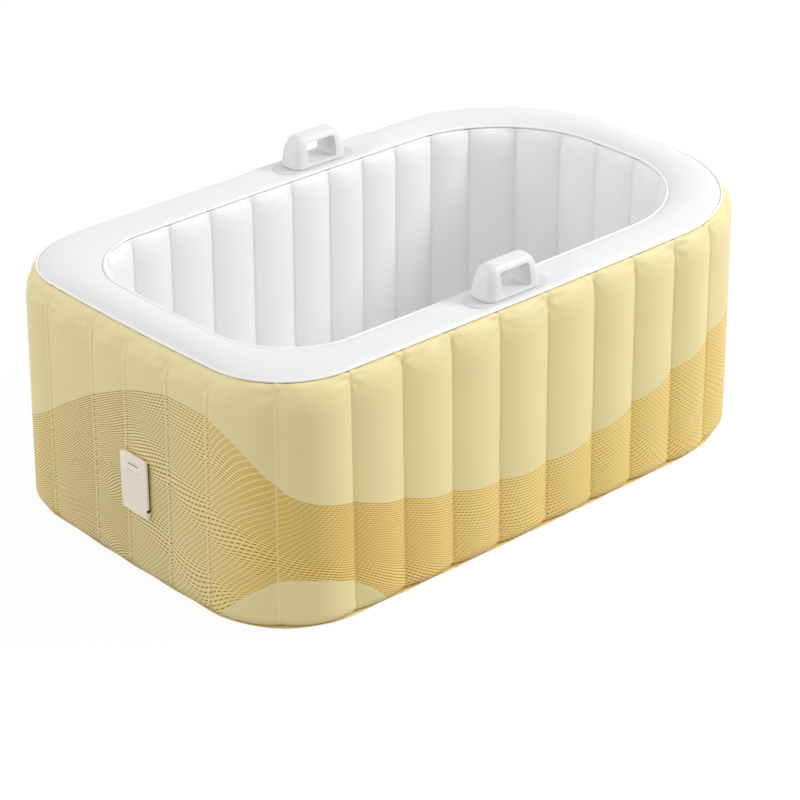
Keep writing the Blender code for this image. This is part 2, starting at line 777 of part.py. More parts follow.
def make_weld_frame():
    """Flange welded behind the outer skin round the cup, narrow beside the nearest web."""
    left = WELD_FRAME_INNER_MARGIN
    right = WELD_FRAME_MARGIN
    width = CUP_WIDTH + 2 * CUP_HOLE_CLEARANCE + left + right
    height = CUP_HEIGHT + 2 * CUP_HOLE_CLEARANCE + 2 * right
    front = SKIN + PUMP_END_SWELL + (FOOT_REACH - SHOULDER_REACH) / 2
    frame = pump_block("pump_weld_frame", (front, front + WELD_FRAME_THICKNESS), width, height,
                       CUP_RADIUS + left, "web_pvc", y=(left - right) / 2)
    window = pump_block("weld_frame_cutter", (front - OVERRUN, front + OVERRUN), CUP_WIDTH + 2 * GAP,
                        CUP_HEIGHT + 2 * GAP, CUP_RADIUS)
    cut(frame, window)


def make_bezel():
    bezel = pump_block("pump_bezel", (BEZEL_FRONT, BEZEL_BACK), BEZEL_WIDTH, BEZEL_HEIGHT, BEZEL_RADIUS,
                       "white_abs")
    opening_width = CUP_WIDTH - 2 * CUP_WALL
    opening_height = CUP_HEIGHT - 2 * CUP_WALL
    window = pump_block("bezel_window_cutter", (BEZEL_FRONT - OVERRUN, BEZEL_BACK + OVERRUN), opening_width,
                        opening_height, CUP_INNER_RADIUS)
    cut(bezel, window)
    for side in (-1, 1):
        lug_y = side * (DOOR_WIDTH - LUG_WIDTH) / 2
        lug_z = (LUG_HEIGHT - DOOR_HEIGHT) / 2
        lug = pump_block("lug_tool_%d" % (side + 2), (DOOR_FRONT, BEZEL_FRONT + BEZEL_THICKNESS / 2),
                         LUG_WIDTH, LUG_HEIGHT, LUG_WIDTH / 4, y=lug_y, z=lug_z)
        add_to(bezel, lug)
    cut(bezel, make_pin_bore("bezel_pin_cutter"))


def hinge_place():
    return Vector((PUMP_WALL_X + HINGE_DEPTH, PUMP_Y, HINGE_Z))


def make_pin_bore(name):
    mesh = cylinder_mesh(name, PIN_RADIUS + SHAFT_CLEARANCE, DOOR_WIDTH + 2 * OVERRUN, steps=16)
    return add_cutter(name, mesh, location=hinge_place(), rotation=(math.pi / 2, 0, 0))


def make_door():
    """Flap with round top corners, notched for the lugs and rolled round its pin below."""
    top = PUMP_Z + DOOR_HEIGHT / 2
    size = (DOOR_THICKNESS, DOOR_WIDTH, DOOR_HEIGHT)
    mesh = block_mesh("pump_door", size, DOOR_RADIUS)
    shift = Vector((0, 0, top - DOOR_HEIGHT / 2 - HINGE_Z))
    for vertex in mesh.vertices:
        vertex.co += shift
    door = add_part("pump_door", mesh, "white_abs", location=hinge_place())
    below = pump_block("door_foot_cutter", (DOOR_FRONT - OVERRUN, DOOR_BACK + OVERRUN),
                       DOOR_WIDTH + 2 * OVERRUN, LUG_HEIGHT, 0, z=HINGE_Z - PUMP_Z - LUG_HEIGHT / 2)
    cut(door, below)
    for side in (-1, 1):
        notch_width = LUG_WIDTH + RUNNING_CLEARANCE + OVERRUN
        notch = pump_block("door_notch_cutter_%d" % (side + 2), (DOOR_FRONT - OVERRUN, DOOR_BACK + OVERRUN),
                           notch_width, 2 * (LUG_HEIGHT + RUNNING_CLEARANCE), 0,
                           y=side * ((DOOR_WIDTH - notch_width) / 2 + OVERRUN), z=-DOOR_HEIGHT / 2)
        cut(door, notch)
    knuckle_length = DOOR_WIDTH - 2 * (LUG_WIDTH + RUNNING_CLEARANCE)
    roll = cylinder_mesh("door_knuckle_tool", KNUCKLE_RADIUS, knuckle_length)
    knuckle = add_cutter("door_knuckle_tool", roll, location=hinge_place(), rotation=(math.pi / 2, 0, 0))
    add_to(door, knuckle)
    cut(door, make_pin_bore("door_pin_cutter"))
    add_grip_marks(door)


def add_grip_marks(door):
    """Finger slot and the ridge below it, near the top of the flap."""
    slot = pump_block("door_slot_cutter", (DOOR_FRONT - OVERRUN, DOOR_FRONT + GRIP_SLOT_DEPTH),
                      GRIP_SLOT_WIDTH, GRIP_SLOT_HEIGHT, GRIP_SLOT_HEIGHT / 3,
                      z=DOOR_HEIGHT / 2 - GRIP_SLOT_DROP)
    cut(door, slot)
    ridge = pump_block("door_ridge_tool", (DOOR_FRONT - GRIP_RIDGE_RISE, DOOR_FRONT + DOOR_THICKNESS / 2),
                       GRIP_RIDGE_WIDTH, GRIP_RIDGE_HEIGHT, GRIP_RIDGE_HEIGHT / 3,
                       z=DOOR_HEIGHT / 2 - GRIP_RIDGE_DROP)
    add_to(door, ridge)


def make_door_pin():
    length = DOOR_WIDTH - LUG_WIDTH / 2
    add_part("pump_door_pin", cylinder_mesh("pump_door_pin", PIN_RADIUS, length, steps=16), "steel",
             location=hinge_place(), rotation=(math.pi / 2, 0, 0))


def make_pump_face():
    width = CUP_WIDTH - 2 * CUP_WALL - 2 * GAP
    height = CUP_HEIGHT - 2 * CUP_WALL - 2 * GAP
    depths = (FACE_DEPTH, FACE_DEPTH + FACE_THICKNESS)
    face = pump_block("pump_face", depths, width, height, CUP_INNER_RADIUS, "grey_abs")
    through = (FACE_DEPTH - OVERRUN, FACE_DEPTH + FACE_THICKNESS + OVERRUN)
    cut(face, pump_block("grille_window_cutter", through, GRILLE_WIDTH, GRILLE_HEIGHT, GRILLE_FRAME,
                         z=GRILLE_Z))
    cut(face, pump_block("socket_window_cutter", through, SOCKET_WIDTH, SOCKET_HEIGHT, SOCKET_HEIGHT / 5,
                         z=SOCKET_Z))
    drill_from_front(face, "spindle_cutter", KNOB_SPINDLE_RADIUS + SHAFT_CLEARANCE,
                     FACE_DEPTH + FACE_THICKNESS / 2, 0, KNOB_Z)


def make_knob():
    """Selector knob: a low dished disc with a finger bar, on a spindle through the face."""
    back = -RUNNING_CLEARANCE
    profile = [(0, KNOB_HEIGHT), (KNOB_RADIUS * 0.8, KNOB_HEIGHT), (KNOB_RADIUS * 0.95, KNOB_HEIGHT * 0.8),
               (KNOB_RADIUS, KNOB_HEIGHT * 0.4), (KNOB_RADIUS, 0), (KNOB_SPINDLE_RADIUS, 0),
               (KNOB_SPINDLE_RADIUS, -KNOB_SPINDLE_LENGTH), (0, -KNOB_SPINDLE_LENGTH)]
    place = pump_place(FACE_DEPTH + back, 0, KNOB_Z)
    knob = add_part("pump_knob", turn("pump_knob", profile), "white_abs", location=place,
                    rotation=(0, -math.pi / 2, 0))
    add_screw(knob)
    bar_mesh = block_mesh("knob_bar_tool", (KNOB_GRIP_HEIGHT - KNOB_HEIGHT / 2, KNOB_GRIP_WIDTH,
                                            KNOB_RADIUS * 1.7), KNOB_GRIP_WIDTH / 3)
    bar_depth = FACE_DEPTH + back - (KNOB_GRIP_HEIGHT + KNOB_HEIGHT / 2) / 2
    add_to(knob, add_cutter("knob_bar_tool", bar_mesh, location=pump_place(bar_depth, 0, KNOB_Z)))


def make_grille():
    depths = (FACE_DEPTH, FACE_DEPTH + FACE_THICKNESS)
    grille = pump_block("intake_grille", depths, GRILLE_WIDTH - 2 * GAP, GRILLE_HEIGHT - 2 * GAP,
                        GRILLE_FRAME - GAP, "dark_abs", z=GRILLE_Z)
    pitch = (GRILLE_HEIGHT - 2 * GRILLE_FRAME) / GRILLE_SLOT_COUNT
    through = (FACE_DEPTH - OVERRUN, FACE_DEPTH + FACE_THICKNESS + OVERRUN)
    for slot in range(GRILLE_SLOT_COUNT):
        z = GRILLE_Z + pitch * (slot - (GRILLE_SLOT_COUNT - 1) / 2)
        cutter = pump_block("grille_slot_cutter_%d" % (slot + 1), through, GRILLE_WIDTH - 2 * GRILLE_FRAME,
                            pitch * GRILLE_SLOT_SHARE, 0, z=z)
        cut(grille, cutter)


def make_socket():
    socket = pump_block("power_socket", (FACE_DEPTH, FACE_DEPTH + SOCKET_DEPTH), SOCKET_WIDTH - 2 * GAP,
                        SOCKET_HEIGHT - 2 * GAP, SOCKET_HEIGHT / 5, "dark_abs", z=SOCKET_Z)
    mouth = pump_block("socket_mouth_cutter", (FACE_DEPTH - OVERRUN, FACE_DEPTH + SOCKET_MOUTH_DEPTH),
                       SOCKET_MOUTH_WIDTH, SOCKET_MOUTH_HEIGHT, SOCKET_MOUTH_HEIGHT / 3, z=SOCKET_Z)
    cut(socket, mouth)


BLOWER_FRONT = FACE_DEPTH + FACE_THICKNESS + GAP
BLOWER_BACK = BLOWER_FRONT + BLOWER_LENGTH
IMPELLER_DEPTH = BLOWER_BACK - BLOWER_WALL - IMPELLER_DISC - RUNNING_CLEARANCE * 3


def make_blower():
    """Drum round the impeller: intake in front, outlet through its crown, motor behind."""
    outer, wall = BLOWER_RADIUS, BLOWER_WALL
    profile = [(BLOWER_INTAKE_RADIUS, BLOWER_LENGTH), (outer, BLOWER_LENGTH), (outer, 0),
               (SHAFT_RADIUS * 2, 0), (SHAFT_RADIUS * 2, wall), (outer - wall, wall),
               (outer - wall, BLOWER_LENGTH - wall), (BLOWER_INTAKE_RADIUS, BLOWER_LENGTH - wall)]
    drum = add_part("blower_drum", turn("blower_drum", profile), "grey_abs",
                    location=pump_place(BLOWER_BACK, 0, GRILLE_Z), rotation=(0, -math.pi / 2, 0))
    profile_is_ring(drum)
    add_screw(drum)
    outlet = pump_block("drum_outlet_cutter", (BLOWER_FRONT + 2 * wall, BLOWER_BACK - 2 * wall),
                        BLOWER_INTAKE_RADIUS, BLOWER_RADIUS, 0, z=GRILLE_Z + BLOWER_RADIUS)
    cut(drum, outlet)


def profile_is_ring(obj):
    """Close the profile of a turned ring."""
    bm = bmesh.new()
    bm.from_mesh(obj.data)
    bm.verts.ensure_lookup_table()
    bm.edges.new((bm.verts[-1], bm.verts[0]))
    bm.to_mesh(obj.data)
    bm.free()


def make_impeller():
    """Backplate, hub and upright vanes on the motor's shaft."""
    hub_height = IMPELLER_DISC + IMPELLER_VANE_HEIGHT
    bore = SHAFT_RADIUS + SHAFT_CLEARANCE
    profile = [(bore, hub_height), (IMPELLER_HUB_RADIUS, hub_height), (IMPELLER_HUB_RADIUS, IMPELLER_DISC),
               (IMPELLER_RADIUS, IMPELLER_DISC), (IMPELLER_RADIUS, 0), (bore, 0)]
    place = pump_place(IMPELLER_DEPTH + IMPELLER_DISC, 0, GRILLE_Z)
    impeller = add_part("impeller", turn("impeller", profile), "white_abs", location=place,
                        rotation=(0, -math.pi / 2, 0))
    profile_is_ring(impeller)
    add_screw(impeller)
    reach = IMPELLER_RADIUS - IMPELLER_HUB_RADIUS
    for vane in range(IMPELLER_VANE_COUNT):
        angle = 2 * math.pi * vane / IMPELLER_VANE_COUNT
        middle = (IMPELLER_RADIUS + IMPELLER_HUB_RADIUS) / 2 - IMPELLER_VANE_THICKNESS
        name = "vane_tool_%d" % (vane + 1)
        mesh = block_mesh(name, (IMPELLER_VANE_HEIGHT, reach, IMPELLER_VANE_THICKNESS))
        where = pump_place(IMPELLER_DEPTH - IMPELLER_VANE_HEIGHT / 2 + IMPELLER_DISC / 2,
                           middle * math.cos(angle), GRILLE_Z + middle * math.sin(angle))
        add_to(impeller, add_cutter(name, mesh, location=where, rotation=(angle, 0, 0)))


def make_motor():
    """Motor can behind the drum with its shaft through the impeller."""
    back = -MOTOR_LENGTH
    profile = [(0, SHAFT_LENGTH), (SHAFT_RADIUS, SHAFT_LENGTH), (SHAFT_RADIUS, 0), (MOTOR_RADIUS, 0),
               (MOTOR_RADIUS, back), (0, back)]
    motor = add_part("pump_motor", turn("pump_motor", profile), "steel",
                     location=pump_place(BLOWER_BACK + GAP, 0, GRILLE_Z), rotation=(0, -math.pi / 2, 0))
    add_screw(motor)


def make_check_valve():
    """Rubber poppet over the ports in the back of the cup."""
    thickness = VALVE_DISC_THICKNESS
    profile = [(0, thickness), (VALVE_DISC_RADIUS, thickness), (VALVE_DISC_RADIUS, 0),
               (VALVE_STEM_RADIUS, 0), (VALVE_STEM_RADIUS, -VALVE_STEM_LENGTH), (0, -VALVE_STEM_LENGTH)]
    valve = add_part("check_valve", turn("check_valve", profile), "rubber",
                     location=pump_place(CUP_DEPTH + GAP, 0, VALVE_Z), rotation=(0, math.pi / 2, 0))
    add_screw(valve)


# Drain

def channel_middle(plan, start, shift_shares, channel):
    here = seam_distance(plan, start, shift_shares, channel)
    there = seam_distance(plan, start, shift_shares, channel + 1)
    return plan.walk((here + there) / 2)[0]


OUTER_DRAIN = channel_middle(OUTER, OUTER_SEAM_START, OUTER_SEAM_SHIFT_SHARES, DRAIN_CHANNEL_INDEX)
INNER_DRAIN = channel_middle(INNER, INNER_SEAM_START, INNER_SEAM_SHIFT_SHARES, DRAIN_CHANNEL_INDEX)
DRAIN_Y = (OUTER_DRAIN.y + INNER_DRAIN.y) / 2
DRAIN_OUTER_X = GAP + max(channel_faces(OUTER_COLUMNS, outer_point, DRAIN_CHANNEL_INDEX,
                                        DRAIN_Z - DRAIN_FLANGE_RADIUS))
DRAIN_INNER_X = min(channel_faces(INNER_COLUMNS, inner_point, DRAIN_CHANNEL_INDEX, DRAIN_Z)) - GAP
DRAIN_TUBE_RADIUS = DRAIN_BORE_RADIUS + DRAIN_WALL


def drain_place(x):
    return Vector((x, DRAIN_Y, DRAIN_Z))


def make_drain(outer_wall, inner_wall):
    hole_radius = DRAIN_TUBE_RADIUS + RUNNING_CLEARANCE
    for wall, x in ((outer_wall, DRAIN_OUTER_X), (inner_wall, DRAIN_INNER_X)):
        mesh = cylinder_mesh("drain_hole_cutter", hole_radius, DECK_WIDTH / 2)
        hole = add_cutter("drain_hole_cutter_" + wall.name, mesh, location=drain_place(x),
                          rotation=(0, math.pi / 2, 0))
        cut(wall, hole)
    make_drain_sleeve()
    make_drain_spout()
    make_drain_cap()
    make_drain_plug()


def make_drain_sleeve():
    """Tube through the wall with its flange on the inside of the tub."""
    length = DRAIN_OUTER_X - DRAIN_INNER_X - GAP
    tube, bore = DRAIN_TUBE_RADIUS, DRAIN_BORE_RADIUS
    flange = -DRAIN_FLANGE_THICKNESS
    profile = [(bore, length), (tube, length), (tube, 0), (DRAIN_FLANGE_RADIUS, 0),
               (DRAIN_FLANGE_RADIUS, flange), (bore, flange)]
    sleeve = add_part("drain_sleeve", turn("drain_sleeve", profile), "moulded_pvc",
                      location=drain_place(DRAIN_INNER_X), rotation=(0, math.pi / 2, 0))
    profile_is_ring(sleeve)
    add_screw(sleeve)


def make_drain_spout():
    """Outer flange and neck that the cap turns on."""
    length = DRAIN_FLANGE_THICKNESS + DRAIN_NECK_LENGTH
    profile = [(DRAIN_BORE_RADIUS, length), (DRAIN_NECK_RADIUS, length),
               (DRAIN_NECK_RADIUS, DRAIN_FLANGE_THICKNESS), (DRAIN_FLANGE_RADIUS, DRAIN_FLANGE_THICKNESS),
               (DRAIN_FLANGE_RADIUS, 0), (DRAIN_BORE_RADIUS, 0)]
    spout = add_part("drain_spout", turn("drain_spout", profile), "moulded_pvc",
                     location=drain_place(DRAIN_OUTER_X), rotation=(0, math.pi / 2, 0))
    profile_is_ring(spout)
    add_screw(spout)


def make_drain_cap():
    """Screw cap over the neck, with finger ribs round its rim."""
    inner = DRAIN_NECK_RADIUS + RUNNING_CLEARANCE
    outer = inner + CAP_WALL
    top = CAP_TOP
    depth = -(DRAIN_NECK_LENGTH - GAP * 2)
    profile = [(0, top), (outer - CAP_WALL / 2, top), (outer, top / 2), (outer, depth), (inner, depth),
               (inner, 0), (0, 0)]
    face = DRAIN_OUTER_X + DRAIN_FLANGE_THICKNESS + DRAIN_NECK_LENGTH + GAP
    cap = add_part("drain_cap", turn("drain_cap", profile), "white_abs", location=drain_place(face),
                   rotation=(0, math.pi / 2, 0))
    add_screw(cap)
    rib_length = -depth * 0.85
    for rib in range(CAP_RIB_COUNT):
        angle = 2 * math.pi * rib / CAP_RIB_COUNT
        mesh = block_mesh("cap_rib_tool_%d" % (rib + 1), (rib_length, CAP_RIB * 2, CAP_RIB))
        where = drain_place(face - rib_length / 2)
        where.y += outer * math.cos(angle)
        where.z += outer * math.sin(angle)
        add_to(cap, add_cutter("cap_rib_tool_%d" % (rib + 1), mesh, location=where, rotation=(angle, 0, 0)))


def make_drain_plug():
    """Push-in stopper in the tub end of the drain, with a finger tab."""
    radius = DRAIN_BORE_RADIUS - RUNNING_CLEARANCE
    head = PLUG_HEAD_THICKNESS
    profile = [(0, head), (PLUG_HEAD_RADIUS - head / 2, head), (PLUG_HEAD_RADIUS, head / 2),
               (PLUG_HEAD_RADIUS, 0), (radius, 0), (radius - PLUG_TAPER, -PLUG_LENGTH), (0, -PLUG_LENGTH)]
    face = DRAIN_INNER_X - DRAIN_FLANGE_THICKNESS - GAP
    plug = add_part("drain_plug", turn("drain_plug", profile), "rubber", location=drain_place(face),
                    rotation=(0, -math.pi / 2, 0))
    add_screw(plug)
    tab_reach = PLUG_TAB_LENGTH + head / 2
    mesh = block_mesh("plug_tab_tool", (tab_reach, PLUG_TAB_THICKNESS, PLUG_TAB_WIDTH),
                      PLUG_TAB_THICKNESS / 3, axis=2)
    tab = add_cutter("plug_tab_tool", mesh, location=drain_place(face - head / 2 - tab_reach / 2))
    add_to(plug, tab)


def main():
    outer_wall = make_outer_wall()
    inner_wall = make_inner_wall()
    make_top_deck()
    make_deck_beads()
    make_base_sheet()
    make_floor_cushion()
    make_webs()
    make_handles()
    make_pump_cup(outer_wall)
    make_weld_frame()
    make_bezel()
    make_door()
    make_door_pin()
    make_pump_face()
    make_knob()
    make_grille()
    make_socket()
    make_blower()
    make_impeller()
    make_motor()
    make_check_valve()
    make_drain(outer_wall, inner_wall)


main()
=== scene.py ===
"""Looks of the inflatable bathtub: inflated skins, welded seams, printed film and fittings.

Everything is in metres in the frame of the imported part: +Z up, the floor at 0, -X the end with
the pump and -Y the long front side. Lengths that the part's solids also use keep their values.
"""

import math

import bmesh
import bpy
import numpy as np
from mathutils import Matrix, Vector


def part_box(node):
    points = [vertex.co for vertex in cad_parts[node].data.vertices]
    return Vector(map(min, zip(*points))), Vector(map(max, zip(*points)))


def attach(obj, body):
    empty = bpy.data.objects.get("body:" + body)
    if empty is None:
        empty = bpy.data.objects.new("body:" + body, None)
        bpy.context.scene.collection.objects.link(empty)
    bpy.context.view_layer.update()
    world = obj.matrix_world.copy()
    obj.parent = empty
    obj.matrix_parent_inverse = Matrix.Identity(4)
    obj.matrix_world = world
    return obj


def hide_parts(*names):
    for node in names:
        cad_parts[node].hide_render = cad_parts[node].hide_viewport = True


bl_info = {
    "name": "Inflatable Bathtub",
    "version": (1, 0, 0),
    "blender": (4, 5, 0),
    "location": "3D View > Sidebar > Bathtub",
    "description": "Inflated skins, printed film, handles, pump flap and drain of an inflatable bathtub",
    "category": "Object",
}

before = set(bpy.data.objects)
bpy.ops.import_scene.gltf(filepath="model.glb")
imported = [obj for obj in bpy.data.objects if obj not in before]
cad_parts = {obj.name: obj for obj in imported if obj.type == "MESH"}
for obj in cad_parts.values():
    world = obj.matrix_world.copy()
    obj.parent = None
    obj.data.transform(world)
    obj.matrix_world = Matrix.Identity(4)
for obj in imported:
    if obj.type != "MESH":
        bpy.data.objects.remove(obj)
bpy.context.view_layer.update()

# Plan along the seams that edge the deck
TUB_LENGTH = 1.600
TUB_WIDTH = 0.956
RIM_HEIGHT = 0.590
DECK_WIDTH = 0.109
SIDE_BOW = 0.0086
END_BOW = 0.0144
OUTER_RADII = (0.187, 0.355)
INNER_RADII = (0.190, 0.299)

# Seams between the air channels
CHANNEL_COUNT = 32
OUTER_SEAM_START = 0.012
INNER_SEAM_START = 0.022
OUTER_SEAM_SHIFT_SHARES = {31: 0.17, 2: -0.10, 3: -0.10, 8: 0.03, 9: 0.07, 11: -0.07, 12: -0.13, 13: -0.06}
INNER_SEAM_SHIFT_SHARES = {15: 0.08, 16: 0.14, 17: 0.12, 18: 0.11, 19: 0.10, 22: -0.07, 23: -0.14,
                           24: -0.14, 25: -0.08, 27: 0.05}
# Places of a channel's columns, as shares of its width, closer together beside the seams
COLUMN_SHARES = (0.0, 0.008, 0.020, 0.040, 0.070, 0.110, 0.160, 0.220, 0.290, 0.365, 0.450,
                 0.550, 0.635, 0.710, 0.780, 0.840, 0.890, 0.930, 0.960, 0.980, 0.992)
# Channels round the pump, with many more columns
FINE_CHANNELS = (31, 0)
FINE_STEPS = 46
LEAST_STEP_SHARE = 0.005

# Skins
SKIN = 0.0010
GAP = 0.0003
BASE_SKIN = 0.0012
WEB_SKIN = 0.0006
WALL_BOTTOM = BASE_SKIN + GAP
OUTER_BEAD_RADIUS = 0.0030
INNER_BEAD_RADIUS = 0.0035
OUTER_TOP = RIM_HEIGHT - OUTER_BEAD_RADIUS - GAP
INNER_TOP = RIM_HEIGHT - INNER_BEAD_RADIUS - GAP
SHOULDER_DROP = 0.075
SHOULDER_REACH = 0.032
FOOT_REACH = 0.040
FOOT_RADIUS = 0.028
SHOULDER_Z = OUTER_TOP - SHOULDER_DROP
FOOT_Z = WALL_BOTTOM + FOOT_RADIUS
INNER_DROP = 0.060
INNER_REACH = 0.022
INNER_SHOULDER_Z = INNER_TOP - INNER_DROP
FLOOR_HEIGHT = 0.055
FLOOR_CHANNEL_COUNT = 10
FLOOR_MARGIN = 0.004
BASE_FLANGE = 0.022
FLANGE_TRIM = 0.006

# Fine forms of the film. A width is the distance over which a form fades.
WELD_LINE_WIDTH = 0.0024
INNER_WELD_LINE_WIDTH = 0.0022
WELD_END_DROP = 0.020
WELD_END_DROP_FLAT = 0.018
WELD_END_JITTER = 0.004
DIMPLE_DEPTH = 0.0022
INNER_DIMPLE_DEPTH = 0.0020
DIMPLE_WIDTH = 0.010
GATHER_WIDTH = 0.030
SWAY_HEIGHT = 0.0008
EMBOSS_HEIGHT = 0.0011
EMBOSS_MARGIN = 0.012

# Deck between its seams, and where the plates of the handles hold it down
DECK_CROWN_AT_PLATES = 0.004
DECK_HOLD_FADE = 0.11
DECK_FOLD_HEIGHT = 0.0006
DECK_EDGE_SHARE = 0.10

# Bottom sheet: rings inside the wall, and rings from there out over its flange
BASE_RING_SHARES = (0.04, 0.2, 0.4, 0.6, 0.8, 0.92)
BASE_OVERLAP = 0.004
FLANGE_RINGS = 8
FLANGE_WAVE = 0.0012

# Air floor before it's blown up
FLOOR_VALLEY_SHARE = 0.72
FLOOR_EDGE_WIDTH = 0.045
FLOOR_WAVE_HEIGHT = 0.0007
FLOOR_CHANNEL_ROWS = 16
FLOOR_END_ROWS = 8

# Webs: how far inside the skins they end, how far their edges are drawn in, and their points
WEB_TAB = 0.0034
WEB_DRAW = 0.012
WEB_ROWS = 25
WEB_COLUMNS = 9

# Blowing up the air floor: pressure, share of film beyond its bed, and how far a point may move
AIR_PRESSURE = 2.5
FILM_SLACK = 0.012
FILM_RISE = 0.0075
FILM_DRIFT = 0.0020
AIR_STEPS = 20

# Handles
HANDLES = (("near", -0.090, -1), ("far", 0.092, 1))
HANDLE_LENGTHS = (0.168, 0.118)
HANDLE_DEPTHS = (0.076, 0.038)
HANDLE_HEIGHT = 0.079
HANDLE_CORNER_SHARE = 0.34
HANDLE_RISE_SHARES = (0.0, 0.06, 0.17, 0.34, 0.55, 0.74, 0.87, 0.96, 1.0)
HANDLE_FLARE_SHARES = (1.0, 0.99, 0.955, 0.88, 0.74, 0.52, 0.31, 0.11, 0.0)
HANDLE_FOOT_RADIUS = 0.0028
HANDLE_CROWN_SHARES = (0.0, 0.0, 0.0, 0.0, 0.0, 0.0, 0.04, 0.20, 0.46)
FINGER_GAP = (0.090, 0.052)
FINGER_GAP_SILL = 0.009
FINGER_GAP_RADIUS = 0.007
MOULD_VOXEL = 0.0011
MOULD_ROUNDS = 5
PATCH_SIZE = (0.240, 0.082, 0.0020)

# Pump station
PUMP_Y = -0.056
PUMP_Z = 0.235
PUMP_HOLE = (0.0756, 0.1296)
PUMP_PLATE = (0.093, 0.145)
PUMP_HOLE_RADIUS = 0.008
DRAIN_HOLE_RADIUS = 0.0168
# Heights between which the outer skin's rows are closest
PUMP_ROWS = (0.145, 0.327)

# Camera that gives the reference view
CAMERA_TARGET = (-0.2383, -0.2471, 0.3)
CAMERA_TURN = -42.5417
CAMERA_LIFT = 27.4774
CAMERA_DISTANCE = 6.13
CAMERA_LENS = 120.31

# Soft boxes: name, turn and lift in degrees, distance, width, power in watts
LAMPS = (("key_box", 53, 34, 8.0, 2.4, 283), ("top_box", 0, 88, 5.0, 3.5, 4),
         ("end_fill", -120, 28, 8.0, 2.5, 82))
LAMP_TARGET = (0, 0, 0.3)
WORLD_LEVEL = 0.76
PAPER_GLOW = 1.14
PAPER_GLOW_SHARE = 0.80


def linear(code):
    """Linear colour with alpha from an sRGB hex code."""
    parts = [int(code[place:place + 2], 16) / 255 for place in (1, 3, 5)]
    return tuple(part / 12.92 if part <= 0.04045 else ((part + 0.055) / 1.055) ** 2.4
                 for part in parts) + (1.0,)


# Sizes and colours that a user would change

class TubWallSettings(bpy.types.PropertyGroup):
    side_swell: bpy.props.FloatProperty(
        name="Side Swell", description="How far a channel of the long sides stands out from its seams",
        default=0.0170, min=0.0, max=0.03, unit="LENGTH")
    pump_end_swell: bpy.props.FloatProperty(
        name="Pump End Swell", description="How far a channel of the flat end stands out from its seams",
        default=0.0062, min=0.0, max=0.03, unit="LENGTH")
    inner_swell: bpy.props.FloatProperty(
        name="Inner Swell", description="How far a channel of the inner skin stands into the tub",
        default=0.0150, min=0.0, max=0.03, unit="LENGTH")
    weld_depth: bpy.props.FloatProperty(
        name="Weld Depth", description="Depth of the narrow groove that each welded seam presses in",
        default=0.0019, min=0.0, max=0.004, unit="LENGTH")
    pucker_height: bpy.props.FloatProperty(
        name="Pucker Height", description="Height of the folds where the film gathers at a weld",
        default=0.0013, min=0.0, max=0.004, unit="LENGTH")
    deck_crown: bpy.props.FloatProperty(
        name="Deck Crown", description="How far the deck stands up between its seams away from the handles",
        default=0.0175, min=0.0, max=0.02, unit="LENGTH")


class TubColourSettings(bpy.types.PropertyGroup):
    cream: bpy.props.FloatVectorProperty(
        name="Cream", description="Ground colour of the printed film", subtype="COLOR", size=4,
        min=0.0, max=1.0, default=linear("#F3E4AB"))
    ochre: bpy.props.FloatVectorProperty(
        name="Ochre", description="Ink of the printed lines on the flat end", subtype="COLOR", size=4,
        min=0.0, max=1.0, default=linear("#A27C0C"))
    ochre_warm: bpy.props.FloatVectorProperty(
        name="Warm Ochre", description="Ink of the printed lines away from the flat end", subtype="COLOR",
        size=4, min=0.0, max=1.0, default=linear("#C28A0A"))
    white: bpy.props.FloatVectorProperty(
        name="White", description="White film of the deck and the inside", subtype="COLOR", size=4,
        min=0.0, max=1.0, default=linear("#F6F7F6"))
    # The deck's greyer white is painted shade: a darker copy of the inside's white film, because the deck faces
    # up into the light
    deck: bpy.props.FloatVectorProperty(
        name="Deck", description="White film of the deck, a little greyer than the inside", subtype="COLOR",
        size=4, min=0.0, max=1.0, default=linear("#EAEBEA"))
    fittings: bpy.props.FloatVectorProperty(
        name="Fittings", description="Moulded plates and flaps", subtype="COLOR", size=4,
        min=0.0, max=1.0, default=linear("#FDF3E4"))
    handles: bpy.props.FloatVectorProperty(
        name="Handles", description="Moulded carrying handles", subtype="COLOR", size=4,
        min=0.0, max=1.0, default=linear("#E9EAE9"))


# Small helpers

def add_node(tree, kind, inputs=None, **settings):
    """Add a node, set its properties, and fill or link its inputs by name or number."""
    node = tree.nodes.new(kind)
    for name, value in settings.items():
        setattr(node, name, value)
    for key, value in (inputs or {}).items():
        if isinstance(value, bpy.types.NodeSocket):
            tree.links.new(value, node.inputs[key])
        else:
            node.inputs[key].default_value = value
    return node


def new_material(name):
    """Empty node material and its tree."""
    material = bpy.data.materials.new(name)
    material.use_nodes = True
    material.node_tree.nodes.clear()
    return material, material.node_tree


def film_bump(tree, grain_mm, strength):
    """Fine relief of calendered film or moulded plastic, from a grain size in millimetres."""
    place = add_node(tree, "ShaderNodeTexCoord")
    grain = add_node(tree, "ShaderNodeTexNoise", {"Vector": place.outputs["Object"], "Scale": 1000 / grain_mm,
                                                   "Detail": 2.0, "Roughness": 0.55})
    return add_node(tree, "ShaderNodeBump", {"Height": grain.outputs["Fac"], "Strength": strength,
                                             "Distance": 0.0004})


def link_surface(tree, shader):
    """End a material's tree with its surface."""
    add_node(tree, "ShaderNodeOutputMaterial", {"Surface": shader.outputs[0]})


